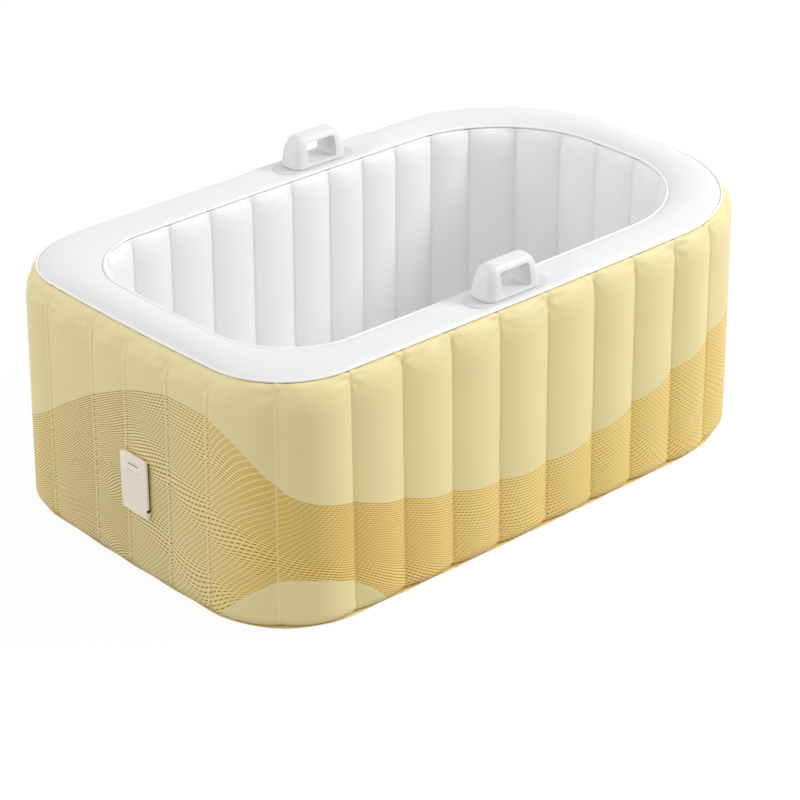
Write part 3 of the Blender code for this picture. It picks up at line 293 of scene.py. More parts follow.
def plastic(name, color, shade, roughness, grain_mm, bump, patch_mm, ior=1.50, rough_spread=0.06):
    """Dyed plastic: its colour drifts a little from patch to patch, and so does its gloss."""
    material, tree = new_material(name)
    place = add_node(tree, "ShaderNodeTexCoord")
    cloud = add_node(tree, "ShaderNodeTexNoise", {"Vector": place.outputs["Object"],
                                                   "Scale": 1000 / patch_mm, "Detail": 3.0})
    tint = add_node(tree, "ShaderNodeMix", {0: cloud.outputs["Fac"], 6: color, 7: shade}, data_type="RGBA")
    gloss = add_node(tree, "ShaderNodeMapRange", {0: cloud.outputs["Fac"], 3: roughness - rough_spread,
                                                  4: roughness + rough_spread})
    relief = film_bump(tree, grain_mm, bump)
    shader = add_node(tree, "ShaderNodeBsdfPrincipled", {
        "Base Color": tint.outputs[2], "Roughness": gloss.outputs[0], "IOR": ior,
        "Normal": relief.outputs[0]})
    link_surface(tree, shader)
    return material


def darker(color, share):
    """The same colour with less light."""
    return tuple(part * share for part in color[:3]) + (1.0,)


def object_from(name, data):
    """Object in the scene from a mesh, a lamp or a camera."""
    obj = bpy.data.objects.new(name, data)
    bpy.context.scene.collection.objects.link(obj)
    return obj


def mesh_from(name, points, faces, smooth=True):
    mesh = bpy.data.meshes.new(name)
    mesh.from_pydata(points, [], faces)
    mesh.validate()
    if smooth:
        mesh.shade_smooth()
    return mesh


def settle(obj):
    """Turn an object's modifiers into its own mesh."""
    graph = bpy.context.evaluated_depsgraph_get()
    graph.update()
    made = bpy.data.meshes.new_from_object(obj.evaluated_get(graph))
    obj.modifiers.clear()
    obj.data = made
    return obj


def thicken(obj, thickness, offset):
    """Give an open skin its thickness: behind it at -1, on both sides at 0."""
    modifier = obj.modifiers.new("thickness", "SOLIDIFY")
    modifier.thickness = thickness
    modifier.offset = offset
    return settle(obj)


def cut_away(obj, tool):
    """Take a closed tool out of an object and remove the tool."""
    modifier = obj.modifiers.new("opening", "BOOLEAN")
    modifier.operation = "DIFFERENCE"
    modifier.solver = "EXACT"
    modifier.object = tool
    bpy.context.view_layer.update()
    settle(obj)
    bpy.data.objects.remove(tool, do_unlink=True)


def rounded_block(name, size, radius, axis, place, segments=6):
    """Closed block with the four edges along one axis rounded."""
    bm = bmesh.new()
    bmesh.ops.create_cube(bm, size=1.0)
    bmesh.ops.scale(bm, vec=Vector(size), verts=bm.verts)
    across = [index for index in range(3) if index != axis]
    edges = [edge for edge in bm.edges
             if all(abs(edge.verts[0].co[index] - edge.verts[1].co[index]) < 1e-6 for index in across)]
    bmesh.ops.bevel(bm, geom=edges, offset=radius, segments=segments, profile=0.5, affect="EDGES")
    mesh = bpy.data.meshes.new(name)
    bm.to_mesh(mesh)
    bm.free()
    obj = object_from(name, mesh)
    obj.location = place
    return obj


def finish_piece(obj, material, body, slot, *nodes):
    """Give a piece its finish and its body, and hide the solids that it stands for; the slot is not used."""
    obj.data.materials.clear()
    obj.data.materials.append(material)
    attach(obj, body)
    if nodes:
        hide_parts(*nodes)
    return obj


def bell(distance, width):
    """1 in the middle, fading to both sides."""
    return np.exp(-(distance / width) ** 2)


def smooth_step(value, low, high):
    """0 below low, 1 above high, rising softly between them."""
    share = np.clip((value - low) / (high - low), 0.0, 1.0)
    return share * share * (3 - 2 * share)


# Plan of the wall

def plan_pieces(inset, radii):
    """Straight runs as (length, start, direction), corners as (length, centre, radius, angle)."""
    length = TUB_LENGTH / 2 - inset
    width = TUB_WIDTH / 2 - inset
    pump, rounded = radii
    quarter = math.pi / 2
    side_run = 2 * length - pump - rounded
    return [
        (width - pump, (-length, 0), (0, -1)),
        (quarter * pump, (pump - length, pump - width), pump, math.pi),
        (side_run, (pump - length, -width), (1, 0)),
        (quarter * rounded, (length - rounded, rounded - width), rounded, 3 * quarter),
        (2 * (width - rounded), (length, rounded - width), (0, 1)),
        (quarter * rounded, (length - rounded, width - rounded), rounded, 0),
        (side_run, (length - rounded, width), (-1, 0)),
        (quarter * pump, (pump - length, width - pump), pump, quarter),
        (width - pump, (-length, width - pump), (0, -1)),
    ]


def walk(pieces, inset, distance):
    """Point and outward normal at a distance along a plan, its straight runs a little bowed."""
    distance %= sum(piece[0] for piece in pieces)
    for piece in pieces:
        if distance <= piece[0]:
            break
        distance -= piece[0]
    if len(piece) == 3:
        _, start, direction = piece
        x, y = start[0] + direction[0] * distance, start[1] + direction[1] * distance
        normal = (direction[1], -direction[0])
    else:
        _, centre, radius, start_angle = piece
        angle = start_angle + distance / radius
        normal = (math.cos(angle), math.sin(angle))
        x, y = centre[0] + radius * normal[0], centre[1] + radius * normal[1]
    x_share = x / (TUB_LENGTH / 2 - inset)
    y_share = y / (TUB_WIDTH / 2 - inset)
    return (x + x_share * END_BOW * (1 - y_share ** 2), y + y_share * SIDE_BOW * (1 - x_share ** 2)), normal


def channel_shares(channel):
    """Where a channel's columns stand, closer beside the seams and round the pump."""
    shares = set(COLUMN_SHARES)
    if channel in FINE_CHANNELS:
        shares |= {round(step / FINE_STEPS, 4) for step in range(1, FINE_STEPS)}
    ordered = sorted(shares)
    return [share for share, following in zip(ordered, ordered[1:] + [1.0])
            if following - share > LEAST_STEP_SHARE]


class Columns:
    """Columns of a skin: points, normals, place in the channel, and run along the plan."""

    def __init__(self, inset, radii, start, shifts):
        pieces = plan_pieces(inset, radii)
        self.perimeter = sum(piece[0] for piece in pieces)
        pitch = self.perimeter / CHANNEL_COUNT

        def seam(channel):
            return start + pitch * (channel + shifts.get(channel % CHANNEL_COUNT, 0))

        points, normals, shares, runs, channels = [], [], [], [], []
        for channel in range(CHANNEL_COUNT):
            here, there = seam(channel), seam(channel + 1)
            for share in channel_shares(channel):
                run = here + (there - here) * share
                point, normal = walk(pieces, inset, run)
                points.append(point)
                normals.append(normal)
                shares.append(share)
                runs.append(run)
                channels.append(channel)
        self.points = np.array(points)
        self.normals = np.array(normals)
        self.shares = np.array(shares)
        self.runs = np.array(runs)
        self.channels = np.array(channels)
        self.seams = np.array([seam(channel) for channel in range(CHANNEL_COUNT + 1)])
        self.widths = np.diff(self.seams)[self.channels]
        self.seam_columns = [int(np.argmin(np.abs(self.runs - place))) for place in self.seams[:-1]]
        # 1 on the flat end, 0 on the sides and the round end
        self.flat_shares = np.clip(-self.normals[:, 0], 0, 1) ** 2
        self.count = len(points)

    def seam_distance(self):
        """Distance along the plan from each column to its nearest seam, signed."""
        return np.where(self.shares < 0.5, self.shares, self.shares - 1.0) * self.widths

    def nearest_seam(self):
        return (self.channels + (self.shares >= 0.5)) % CHANNEL_COUNT


OUTER = Columns(0.0, OUTER_RADII, OUTER_SEAM_START, OUTER_SEAM_SHIFT_SHARES)
INNER = Columns(DECK_WIDTH, INNER_RADII, INNER_SEAM_START, INNER_SEAM_SHIFT_SHARES)


def unevenness(columns, runs, heights, wave, height_wave, seed):
    """Gentle bumps from -1 to 1 that close on themselves round the tub."""
    total = 0.0
    for step in range(5):
        turns = max(1, round(columns.perimeter / wave * (0.62 + 0.19 * step)))
        phase = seed * 1.7 + step * 2.39
        lean = 2 * math.pi * heights / height_wave * (0.7 + 0.17 * step) + phase * 1.3
        total = total + np.sin(2 * math.pi * turns * runs / columns.perimeter + phase
                               + 1.1 * np.sin(lean)) / 5
    return total


# Ring skins: one row of points per height, one column per place along the plan

def ring_faces(rows, count):
    """Quads between rings of equal count, wound so that rising rings face outward."""
    faces = []
    for row in range(rows - 1):
        low, high = row * count, (row + 1) * count
        for column in range(count):
            after = (column + 1) % count
            faces.append((low + column, low + after, high + after, high + column))
    return faces


def grid_normals(points):
    """Outward normals of a ring grid of shape (rows, columns, 3)."""
    along = np.roll(points, -1, axis=1) - np.roll(points, 1, axis=1)
    up = np.gradient(points, axis=0)
    normals = np.cross(along, up)
    return normals / np.maximum(np.linalg.norm(normals, axis=2, keepdims=True), 1e-12)


def corner_points(mesh):
    """The point at each corner of each face."""
    corners = np.zeros(len(mesh.loops), dtype=np.int64)
    mesh.loops.foreach_get("vertex_index", corners)
    return corners


def write_run_map(mesh, columns, heights):
    """UV map that lays the skin out flat: metres along the plan and metres up."""
    layer = mesh.uv_layers.new(name="run_and_height")
    count = columns.count
    corners = corner_points(mesh)
    column = corners % count
    run = columns.runs[column]
    first = column.reshape(-1, 4)
    wraps = (first.max(axis=1) - first.min(axis=1)) > count / 2
    run = run.reshape(-1, 4)
    run[wraps] = np.where(first[wraps] < count / 2, run[wraps] + columns.perimeter, run[wraps])
    flat = np.column_stack([run.reshape(-1), heights[corners // count]])
    layer.data.foreach_set("uv", flat.astype(np.float32).reshape(-1))


def write_seam_map(mesh, distance, weld):
    """UV map with the distance to the nearest seam in metres and the strength of its pale weld line, which is
    partly a painted highlight.
    """
    layer = mesh.uv_layers.new(name="seam_and_weld_highlight", do_init=False)
    corners = corner_points(mesh)
    flat = np.column_stack([distance.reshape(-1)[corners], weld.reshape(-1)[corners]])
    layer.data.foreach_set("uv", flat.astype(np.float32).reshape(-1))


def outer_reach(z):
    """How far the outer skin's crowns stand out from the deck's seam at a height."""
    rise = np.clip((z - SHOULDER_Z) / SHOULDER_DROP, 0, 1)
    fall = np.clip((FOOT_Z - z) / FOOT_RADIUS, 0, 1)
    share = np.clip((SHOULDER_Z - z) / (SHOULDER_Z - FOOT_Z), 0, 1)
    reach = SHOULDER_REACH * np.sqrt(1 - rise ** 2) + (FOOT_REACH - SHOULDER_REACH) * share
    return reach - FOOT_RADIUS * (1 - np.sqrt(1 - fall ** 2))


def quarter_heights(start, end, count):
    """Heights that share out a quarter round evenly from its flat end to its steep end."""
    return start + (end - start) * np.sin(np.linspace(0, math.pi / 2, count + 1))


def outer_heights():
    """Heights of the outer skin's rows, closer together round the pump."""
    foot = quarter_heights(FOOT_Z, WALL_BOTTOM, 9)[::-1]
    low = np.linspace(FOOT_Z, PUMP_ROWS[0], 11)[1:]
    pump = np.linspace(*PUMP_ROWS, 54)[1:]
    high = np.linspace(PUMP_ROWS[1], SHOULDER_Z, 16)[1:]
    shoulder = quarter_heights(SHOULDER_Z, OUTER_TOP, 20)[1:]
    return np.concatenate([foot, low, pump, high, shoulder])


def weld_tops():
    """Height at which each point's nearest weld ends: high on the sides, lower on the flat end."""
    tops = []
    for seam, column in enumerate(OUTER.seam_columns):
        jitter = WELD_END_JITTER * math.sin(seam * 2.1 + 0.6)
        tops.append(RIM_HEIGHT - WELD_END_DROP - WELD_END_DROP_FLAT * OUTER.flat_shares[column] + jitter)
    return np.array(tops)[OUTER.nearest_seam()][None, :]


def outer_swell(settings, flat_share):
    """How far a channel of the outer skin stands out, less on the flat end."""
    return settings.side_swell + (settings.pump_end_swell - settings.side_swell) * flat_share


def ring_points(columns, z, reach):
    """Points at a reach outside the plan, one row for each height."""
    points = np.zeros((len(z), columns.count, 3))
    points[:, :, 0] = columns.points[:, 0] + columns.normals[:, 0] * reach
    points[:, :, 1] = columns.points[:, 1] + columns.normals[:, 1] * reach
    points[:, :, 2] = z
    return points


def outer_pale_weld_highlights():
    """How strongly each point's nearest weld shows as a pale pressed line with a painted highlight: most on the
    flat end.
    """
    welded = smooth_step(weld_tops() - outer_heights()[:, None], -0.007, 0.006)
    return welded * (0.22 + 0.78 * OUTER.flat_shares)


def outer_points(settings):
    """Base form of the outer skin: channels drawn in by the seams, then welds and folds."""
    z = outer_heights()[:, None]
    shares = OUTER.shares[None, :]
    flat_share = OUTER.flat_shares[None, :]
    swell = outer_swell(settings, flat_share)
    rise = np.clip((z - SHOULDER_Z) / SHOULDER_DROP, 0, 1)
    fall = np.clip((FOOT_Z - z) / FOOT_RADIUS, 0, 1)
    depth_share = (1 - rise ** 3.5) * (1 - 0.55 * fall)
    tops = weld_tops()
    welded = smooth_step(tops - z, -0.007, 0.006)
    crisp = np.abs(2 * shares - 1) ** 2.1
    soft = 0.5 + 0.5 * np.cos(2 * math.pi * shares)
    dip = swell * depth_share * (welded * crisp + (1 - welded) * soft)
    points = ring_points(OUTER, z, outer_reach(z) - dip)
    relief = outer_relief(settings, z, tops, welded, flat_share)
    return points + grid_normals(points) * relief[:, :, None]


def outer_relief(settings, z, tops, welded, flat_share):
    """Height of the fine forms over the base form."""
    runs = OUTER.runs[None, :]
    aside = OUTER.seam_distance()[None, :]
    seam = OUTER.nearest_seam()[None, :]
    line = bell(aside, WELD_LINE_WIDTH)
    # On the flat end the film stands up along the weld and lies over to one side, with a crease under it
    pleat = line - 0.5 * bell(aside + 0.0062, 0.0030) - 1.7 * bell(aside - 0.0052, 0.0024)
    groove = settings.weld_depth * (pleat * flat_share - line * (1 - flat_share)) * welded
    above = z - tops
    dimple = -DIMPLE_DEPTH * np.exp(-(aside / DIMPLE_WIDTH) ** 2 - (above / 0.013) ** 2)
    dimple = dimple * (1 - 0.45 * flat_share)
    radius = np.sqrt(aside ** 2 + above ** 2)
    angle = np.arctan2(above, aside)
    fan = np.cos(5 * angle + seam * 1.9) * bell(radius - 0.022, 0.017)
    drop = OUTER_TOP - z
    gather = unevenness(OUTER, runs, z, 0.055, 0.30, 3.0) * bell(drop, GATHER_WIDTH)
    gather = gather * smooth_step(drop, 0.0, 0.006)
    foot = unevenness(OUTER, runs, z, 0.040, 0.20, 7.0) * bell(z - WALL_BOTTOM, GATHER_WIDTH)
    sway = unevenness(OUTER, runs, z, 0.190, 0.34, 11.0) * smooth_step(drop, 0.0, 0.05)
    sway = sway * smooth_step(z, 0.0, 0.05)
    swag = bell(drop - 0.038, 0.028) * unevenness(OUTER, runs, z, 0.105, 0.11, 5.0)
    folds = settings.pucker_height * (0.8 * fan + (1.0 + 2.2 * flat_share) * gather + 0.7 * foot
                                      + 3.4 * flat_share * swag)
    return groove + dimple + folds + SWAY_HEIGHT * sway + pump_emboss(z)


def pump_emboss(z):
    """Step over the flange that is welded behind the skin round the pump."""
    y = OUTER.points[None, :, 1]
    past_sides = np.maximum(np.abs(y - PUMP_Y) - (PUMP_PLATE[0] / 2 + EMBOSS_MARGIN), -EMBOSS_MARGIN)
    past_ends = np.maximum(np.abs(z - PUMP_Z) - (PUMP_PLATE[1] / 2 + EMBOSS_MARGIN), -EMBOSS_MARGIN)
    outside = np.hypot(past_sides + EMBOSS_MARGIN, past_ends + EMBOSS_MARGIN) - EMBOSS_MARGIN
    on_end = OUTER.normals[None, :, 0] < -0.9
    return np.where(on_end, EMBOSS_HEIGHT * (1 - smooth_step(outside, -0.0035, 0.0015)), 0.0)


def make_ring_skin(name, columns, heights, points, outward, weld=None):
    """Closed skin of a ring grid, its thickness on the side away from the eye."""
    faces = ring_faces(points.shape[0], points.shape[1])
    if not outward:
        faces = [tuple(reversed(face)) for face in faces]
    mesh = mesh_from(name, points.reshape(-1, 3), faces)
    write_run_map(mesh, columns, heights)
    if weld is not None:
        write_seam_map(mesh, np.broadcast_to(np.abs(columns.seam_distance()), weld.shape), weld)
    return thicken(object_from(name, mesh), SKIN, -1)


# Finishes. Each starts from what the real one is made of.

# Edges of the print round the tub, as (share of the run, height in metres); it starts at the flat end
PRINT_UPPER = ((0.0, 0.443), (0.02, 0.477), (0.0355, 0.491), (0.050, 0.495), (0.0622, 0.486), (0.073, 0.464),
               (0.0832, 0.414), (0.0935, 0.352), (0.1015, 0.322), (0.1122, 0.304), (0.1272, 0.281),
               (0.1592, 0.235), (0.1902, 0.199), (0.221, 0.174), (0.2535, 0.167), (0.2845, 0.183),
               (0.3155, 0.218), (0.3458, 0.259), (0.375, 0.301), (0.42, 0.372), (0.47, 0.432), (0.52, 0.459),
               (0.58, 0.432), (0.65, 0.348), (0.72, 0.252), (0.78, 0.189), (0.84, 0.159), (0.885, 0.183),
               (0.9212, 0.232), (0.95, 0.317), (0.976, 0.390))
# Hills without print at the foot; the print elsewhere runs on over the flange
PRINT_LOWER = ((0.0, -0.05), (0.055, -0.05), (0.062, -0.02), (0.069, 0.016), (0.077, 0.061), (0.0837, 0.091),
               (0.088, 0.105), (0.0938, 0.118), (0.1015, 0.124), (0.1115, 0.116), (0.1262, 0.084),
               (0.1367, 0.050), (0.1445, 0.012), (0.152, -0.03), (0.160, -0.05), (0.54, -0.05),
               (0.565, -0.03), (0.580, 0.03), (0.60, 0.078), (0.625, 0.099), (0.65, 0.078), (0.67, 0.03),
               (0.685, -0.03), (0.71, -0.05))
# Curve that the lowest lines would run to, most of it below the floor
PRINT_FOOT = ((0.0, 0.010), (0.02, -0.015), (0.04, -0.065), (0.06, -0.090), (0.075, -0.055), (0.090, -0.005),
              (0.1015, 0.005), (0.12, -0.030), (0.15, -0.125), (0.19, -0.270), (0.23, -0.370), (0.28, -0.380),
              (0.34, -0.310), (0.375, -0.260), (0.42, -0.170), (0.47, -0.100), (0.52, -0.060),
              (0.57, -0.040), (0.625, -0.010), (0.68, -0.090), (0.72, -0.200), (0.78, -0.330),
              (0.84, -0.370), (0.885, -0.330), (0.9212, -0.240), (0.95, -0.125), (0.976, -0.030))
PRINT_BASE = -0.42
PRINT_SPAN = 0.95
PRINT_LINE_COUNT = 74
PRINT_DASH_COUNT = 440
# Slow waves that bunch the lines: rounds along the tub, radians to a metre of height, metres of swing
PRINT_WAVE_ROUNDS = 11
PRINT_WAVE_TILT = 34.0
PRINT_WAVE_SWING = 0.0115
# Shares of a dash by which each line's dashes stand aside from those of the line above
PRINT_LEAN = 0.37
PRINT_LEAN_SWING = 0.045
PRINT_LEAN_ROUNDS = 7
# Half the width of a line, and how much of the pitch comes on top on the flat end and elsewhere
LINE_HALF_WIDTH = 0.0009
LINE_PITCH_SHARE = 0.052
LINE_PITCH_SHARE_WARM = 0.028
# Half the gap between two dashes, as a share of the pitch and a trim
GAP_PITCH_SHARE = 0.22
GAP_TRIM = 0.0001
# Lengths over which the ink, the print's edge and a seam's pale line with its painted highlight run out
INK_FADE = 0.0005
EDGE_FADE = 0.00125
SEAM_PALE_HIGHLIGHT_REACH = 0.0020
SEAM_PALE_HIGHLIGHT_FADE = 0.0010

# How the print is worked out at a point: each value's name, what is done, and with what
PRINT_STEPS = (
    ("below", "SUBTRACT", "upper", "height"),
    ("span", "SUBTRACT", "upper", "foot"),
    ("pitch", "DIVIDE", "span", PRINT_LINE_COUNT),
    # Slow waves that grow downward from the upper edge, so that the lines bunch and spread
    ("tilt", "MULTIPLY", "height", PRINT_WAVE_TILT),
    ("phase", "MULTIPLY_ADD", "turn", 2 * math.pi * PRINT_WAVE_ROUNDS, "tilt"),
    ("depth", "MULTIPLY", "below", 5.0),
    ("rise", "SINE", "phase"),
    ("swing", "MULTIPLY", "rise", PRINT_WAVE_SWING),
    ("wave", "MULTIPLY", "swing", "depth"),
    ("moved", "ADD", "below", "wave"),
    ("line", "DIVIDE", "moved", "pitch"),
    ("line_share", "FRACT", "line"),
    ("line_offset", "SUBTRACT", "line_share", 0.5),
    ("line_distance", "ABSOLUTE", "line_offset"),
    ("aside", "MULTIPLY", "line_distance", "pitch"),
    # The ink is duller on the flat end and warmer elsewhere
    ("angle", "MULTIPLY", "turn", 2 * math.pi),
    ("around", "COSINE", "angle"),
    ("warm", "MULTIPLY_ADD", "around", -8.0, 7.76),
    ("pitch_share", "MULTIPLY_ADD", "warm", LINE_PITCH_SHARE_WARM - LINE_PITCH_SHARE, LINE_PITCH_SHARE),
    ("half_width", "MULTIPLY_ADD", "pitch", "pitch_share", LINE_HALF_WIDTH),
    ("within", "SUBTRACT", "half_width", "aside"),
    ("inked", "MULTIPLY_ADD", "within", 1 / INK_FADE, 0.5),
    # Gaps that cut the lines into dashes, leaning over from line to line
    ("lean_angle", "MULTIPLY", "turn", 2 * math.pi * PRINT_LEAN_ROUNDS),
    ("lean_wave", "SINE", "lean_angle"),
    ("lean_share", "MULTIPLY_ADD", "lean_wave", PRINT_LEAN_SWING, PRINT_LEAN),
    ("lean", "MULTIPLY", "line", "lean_share"),
    ("dash_turn", "MULTIPLY", "turn", PRINT_DASH_COUNT),
    ("dash", "ADD", "dash_turn", "lean"),
    ("dash_share", "FRACT", "dash"),
    ("dash_offset", "SUBTRACT", "dash_share", 0.5),
    ("dash_distance", "ABSOLUTE", "dash_offset"),
    ("apart", "MULTIPLY", "dash_distance", OUTER.perimeter / PRINT_DASH_COUNT),
    ("half_gap", "MULTIPLY_ADD", "pitch", GAP_PITCH_SHARE, -GAP_TRIM),
    ("past_gap", "SUBTRACT", "apart", "half_gap"),
    ("kept", "MULTIPLY_ADD", "past_gap", 1 / INK_FADE, 0.5),
    # The print's band, and the bottom sheet's flange, which takes the ink more thinly
    ("under_upper", "MULTIPLY", "below", 1 / EDGE_FADE),
    ("above_lower", "SUBTRACT", "height", "lower"),
    ("over_lower", "MULTIPLY", "above_lower", 1 / EDGE_FADE),
    ("band", "MULTIPLY", "under_upper", "over_lower"),
    ("on_wall", "MULTIPLY_ADD", "height", 160.0, 1.0),
    ("strength", "MULTIPLY_ADD", "on_wall", 0.6, 0.4),
    ("inside", "MULTIPLY", "band", "strength"),
    ("dashed", "MULTIPLY", "inked", "kept"),
    ("ink", "MULTIPLY", "dashed", "inside"),
    ("yellowed", "MULTIPLY", "inside", "warm"),
    # The paler line of each seam, partly pressed film and partly a painted highlight
    ("beside_seam", "MULTIPLY_ADD", "seam", -1 / SEAM_PALE_HIGHLIGHT_FADE, SEAM_PALE_HIGHLIGHT_REACH / SEAM_PALE_HIGHLIGHT_FADE),
    ("pressed", "MULTIPLY", "weld", "beside_seam"),
    ("seam_pale_and_highlight", "MULTIPLY", "pressed", 0.8))


def smooth_loop(points, count):
    """Cubic curve through points on a closed round of length 1, as evenly spaced samples."""
    place = np.array([point[0] for point in points])
    value = np.array([point[1] for point in points])
    place = np.concatenate([place[-2:] - 1, place, place[:3] + 1])
    value = np.concatenate([value[-2:], value, value[:3]])
    steps = np.diff(place)
    rises = np.diff(value) / steps
    slope = np.zeros(len(place))
    slope[1:-1] = (rises[:-1] * steps[1:] + rises[1:] * steps[:-1]) / (steps[1:] + steps[:-1])
    where = np.linspace(0, 1, count)
    piece = np.clip(np.searchsorted(place, where, side="right") - 1, 1, len(place) - 3)
    step = steps[piece]
    share = (where - place[piece]) / step
    heights = ((2 * share ** 3 - 3 * share ** 2 + 1) * value[piece]
               + (share ** 3 - 2 * share ** 2 + share) * step * slope[piece]
               + (3 * share ** 2 - 2 * share ** 3) * value[piece + 1]
               + (share ** 3 - share ** 2) * step * slope[piece + 1])
    return where, heights


def edge_curve(tree, run, points):
    """Height in metres that follows the run round the tub smoothly through the given points."""
    node = add_node(tree, "ShaderNodeFloatCurve", {"Value": run})
    curve = node.mapping.curves[0]
    where, heights = smooth_loop(points, 121)
    heights = (heights - PRINT_BASE) / PRINT_SPAN
    curve.points[0].location = (0.0, heights[0])
    curve.points[-1].location = (1.0, heights[-1])
    for place, height in zip(where[1:-1], heights[1:-1]):
        curve.points.new(place, height)
    node.mapping.update()
    scaled = add_node(tree, "ShaderNodeMath", {0: node.outputs[0], 1: PRINT_SPAN, 2: PRINT_BASE},
                      operation="MULTIPLY_ADD")
    return scaled.outputs[0]


def printed_film_material(colours):
    """Calendered PVC film, gravure printed before it is welded: a satin skin with a fine line ornament.

    The printed lines are under a millimetre wide and are drawn as coarse as they need to be to show.
    """
    material, tree = new_material("calendered_pvc_printed_film")
    uv = add_node(tree, "ShaderNodeUVMap", uv_map="run_and_height")
    split = add_node(tree, "ShaderNodeSeparateXYZ", {0: uv.outputs[0]})
    turn = add_node(tree, "ShaderNodeMath", {0: split.outputs[0], 1: OUTER.perimeter}, operation="DIVIDE")
    share = add_node(tree, "ShaderNodeMath", {0: turn.outputs[0]}, operation="FRACT")
    seam_uv = add_node(tree, "ShaderNodeUVMap", uv_map="seam_and_weld_highlight")
    seam = add_node(tree, "ShaderNodeSeparateXYZ", {0: seam_uv.outputs[0]})
    values = {"turn": turn.outputs[0], "height": split.outputs[1], "seam": seam.outputs[0],
              "weld": seam.outputs[1]}
    for name, points in (("upper", PRINT_UPPER), ("lower", PRINT_LOWER), ("foot", PRINT_FOOT)):
        values[name] = edge_curve(tree, share.outputs[0], points)
    clamped = {"depth", "warm", "inked", "kept", "under_upper", "over_lower", "on_wall", "beside_seam"}
    for name, operation, *inputs in PRINT_STEPS:
        inputs = {place: values[item] if isinstance(item, str) else item for place, item in enumerate(inputs)}
        node = add_node(tree, "ShaderNodeMath", inputs, operation=operation, use_clamp=name in clamped)
        values[name] = node.outputs[0]
    place = add_node(tree, "ShaderNodeTexCoord")
    cloud = add_node(tree, "ShaderNodeTexNoise", {"Vector": place.outputs["Object"], "Scale": 9.0,
                                                   "Detail": 3.0})
    ground = add_node(tree, "ShaderNodeMix", {0: cloud.outputs["Fac"], 6: tuple(colours.cream),
                                              7: darker(colours.cream, 0.955)}, data_type="RGBA")
    ochre = add_node(tree, "ShaderNodeMix", {0: values["warm"], 6: tuple(colours.ochre),
                                             7: tuple(colours.ochre_warm)}, data_type="RGBA")
    # Spread ink leaves the film between the lines a little yellower
    toned = add_node(tree, "ShaderNodeMix", {0: values["yellowed"], 6: ground.outputs[2],
                                             7: linear("#F8DF90")}, data_type="RGBA")
    printed = add_node(tree, "ShaderNodeMix", {0: values["ink"], 6: toned.outputs[2], 7: ochre.outputs[2]},
                       data_type="RGBA")
    # The hot bar that welds a seam leaves the film paler and smoother; the pale line is also a painted
    # highlight along the seam
    tint = add_node(tree, "ShaderNodeMix", {0: values["seam_pale_and_highlight"], 6: printed.outputs[2],
                                            7: linear("#FAF0CC")}, data_type="RGBA")
    gloss = add_node(tree, "ShaderNodeMapRange", {0: cloud.outputs["Fac"], 3: 0.40, 4: 0.52})
    relief = film_bump(tree, 1.8, 0.12)
    shader = add_node(tree, "ShaderNodeBsdfPrincipled", {
        "Base Color": tint.outputs[2], "Roughness": gloss.outputs[0], "IOR": 1.53,
        "Specular IOR Level": 0.30, "Normal": relief.outputs[0]})
    link_surface(tree, shader)
    return material


def white_film_material(colours):
    """Calendered PVC film in plain white: satin, with faint clouds from the rolls."""
    white = tuple(colours.white)
    return plastic("calendered_pvc_white_film", white, darker(white, 0.965), 0.40, 1.8, 0.10, 120, ior=1.53)


def deck_painted_shade_material(colours):
    """Thicker calendered PVC film of the deck: satin, and a little greyer than the inside's film as painted
    shade.
    """
    white = tuple(colours.deck)
    return plastic("calendered_pvc_deck_film_painted_shade", white, darker(white, 0.97), 0.38, 1.8, 0.10, 120, ior=1.53)


def bead_material():
    """Extruded PVC piping, a little glossier than the film that it is welded to."""
    return plastic("extruded_pvc_piping", linear("#FAFAF8"), linear("#F1F1EF"), 0.30, 3.0, 0.05, 60, ior=1.53)


def web_material():
    """Woven scrim laminated in PVC, the strong film of the webs."""
    return plastic("scrim_reinforced_pvc", linear("#E4E3DE"), linear("#D5D4CE"), 0.50, 2.0, 0.25, 30, ior=1.53)


def base_film_material(colours):
    """Thick calendered PVC of the bottom, dyed like the wall: duller, scuffed by the floor."""
    cream = darker(colours.cream, 0.93)
    return plastic("calendered_pvc_base_film", cream, darker(cream, 0.90), 0.55, 2.5, 0.20, 70, ior=1.53)


def moulded_pvc_material(colours):
    """Injection moulded soft PVC: a fine spark-eroded grain that scatters the light."""
    tone = tuple(colours.handles)
    return plastic("moulded_soft_pvc", tone, darker(tone, 0.95), 0.42, 1.2, 0.16, 45)


def plate_painted_shade_material(colours):
    """Pressed PVC sheet under a handle, thicker and duller than the film that it is welded to, and painted
    darker than the handles as painted shade from the handle above it.
    """
    tone = darker(colours.handles, 0.86)
    return plastic("pressed_pvc_sheet_painted_shade", tone, darker(tone, 0.95), 0.50, 1.5, 0.14, 40, ior=1.53)


def abs_material(name, light, dark, roughness):
    """Injection moulded ABS: even and slightly glossy, with a fine eroded grain."""
    return plastic(name, light, dark, roughness, 0.9, 0.12, 40, ior=1.54)


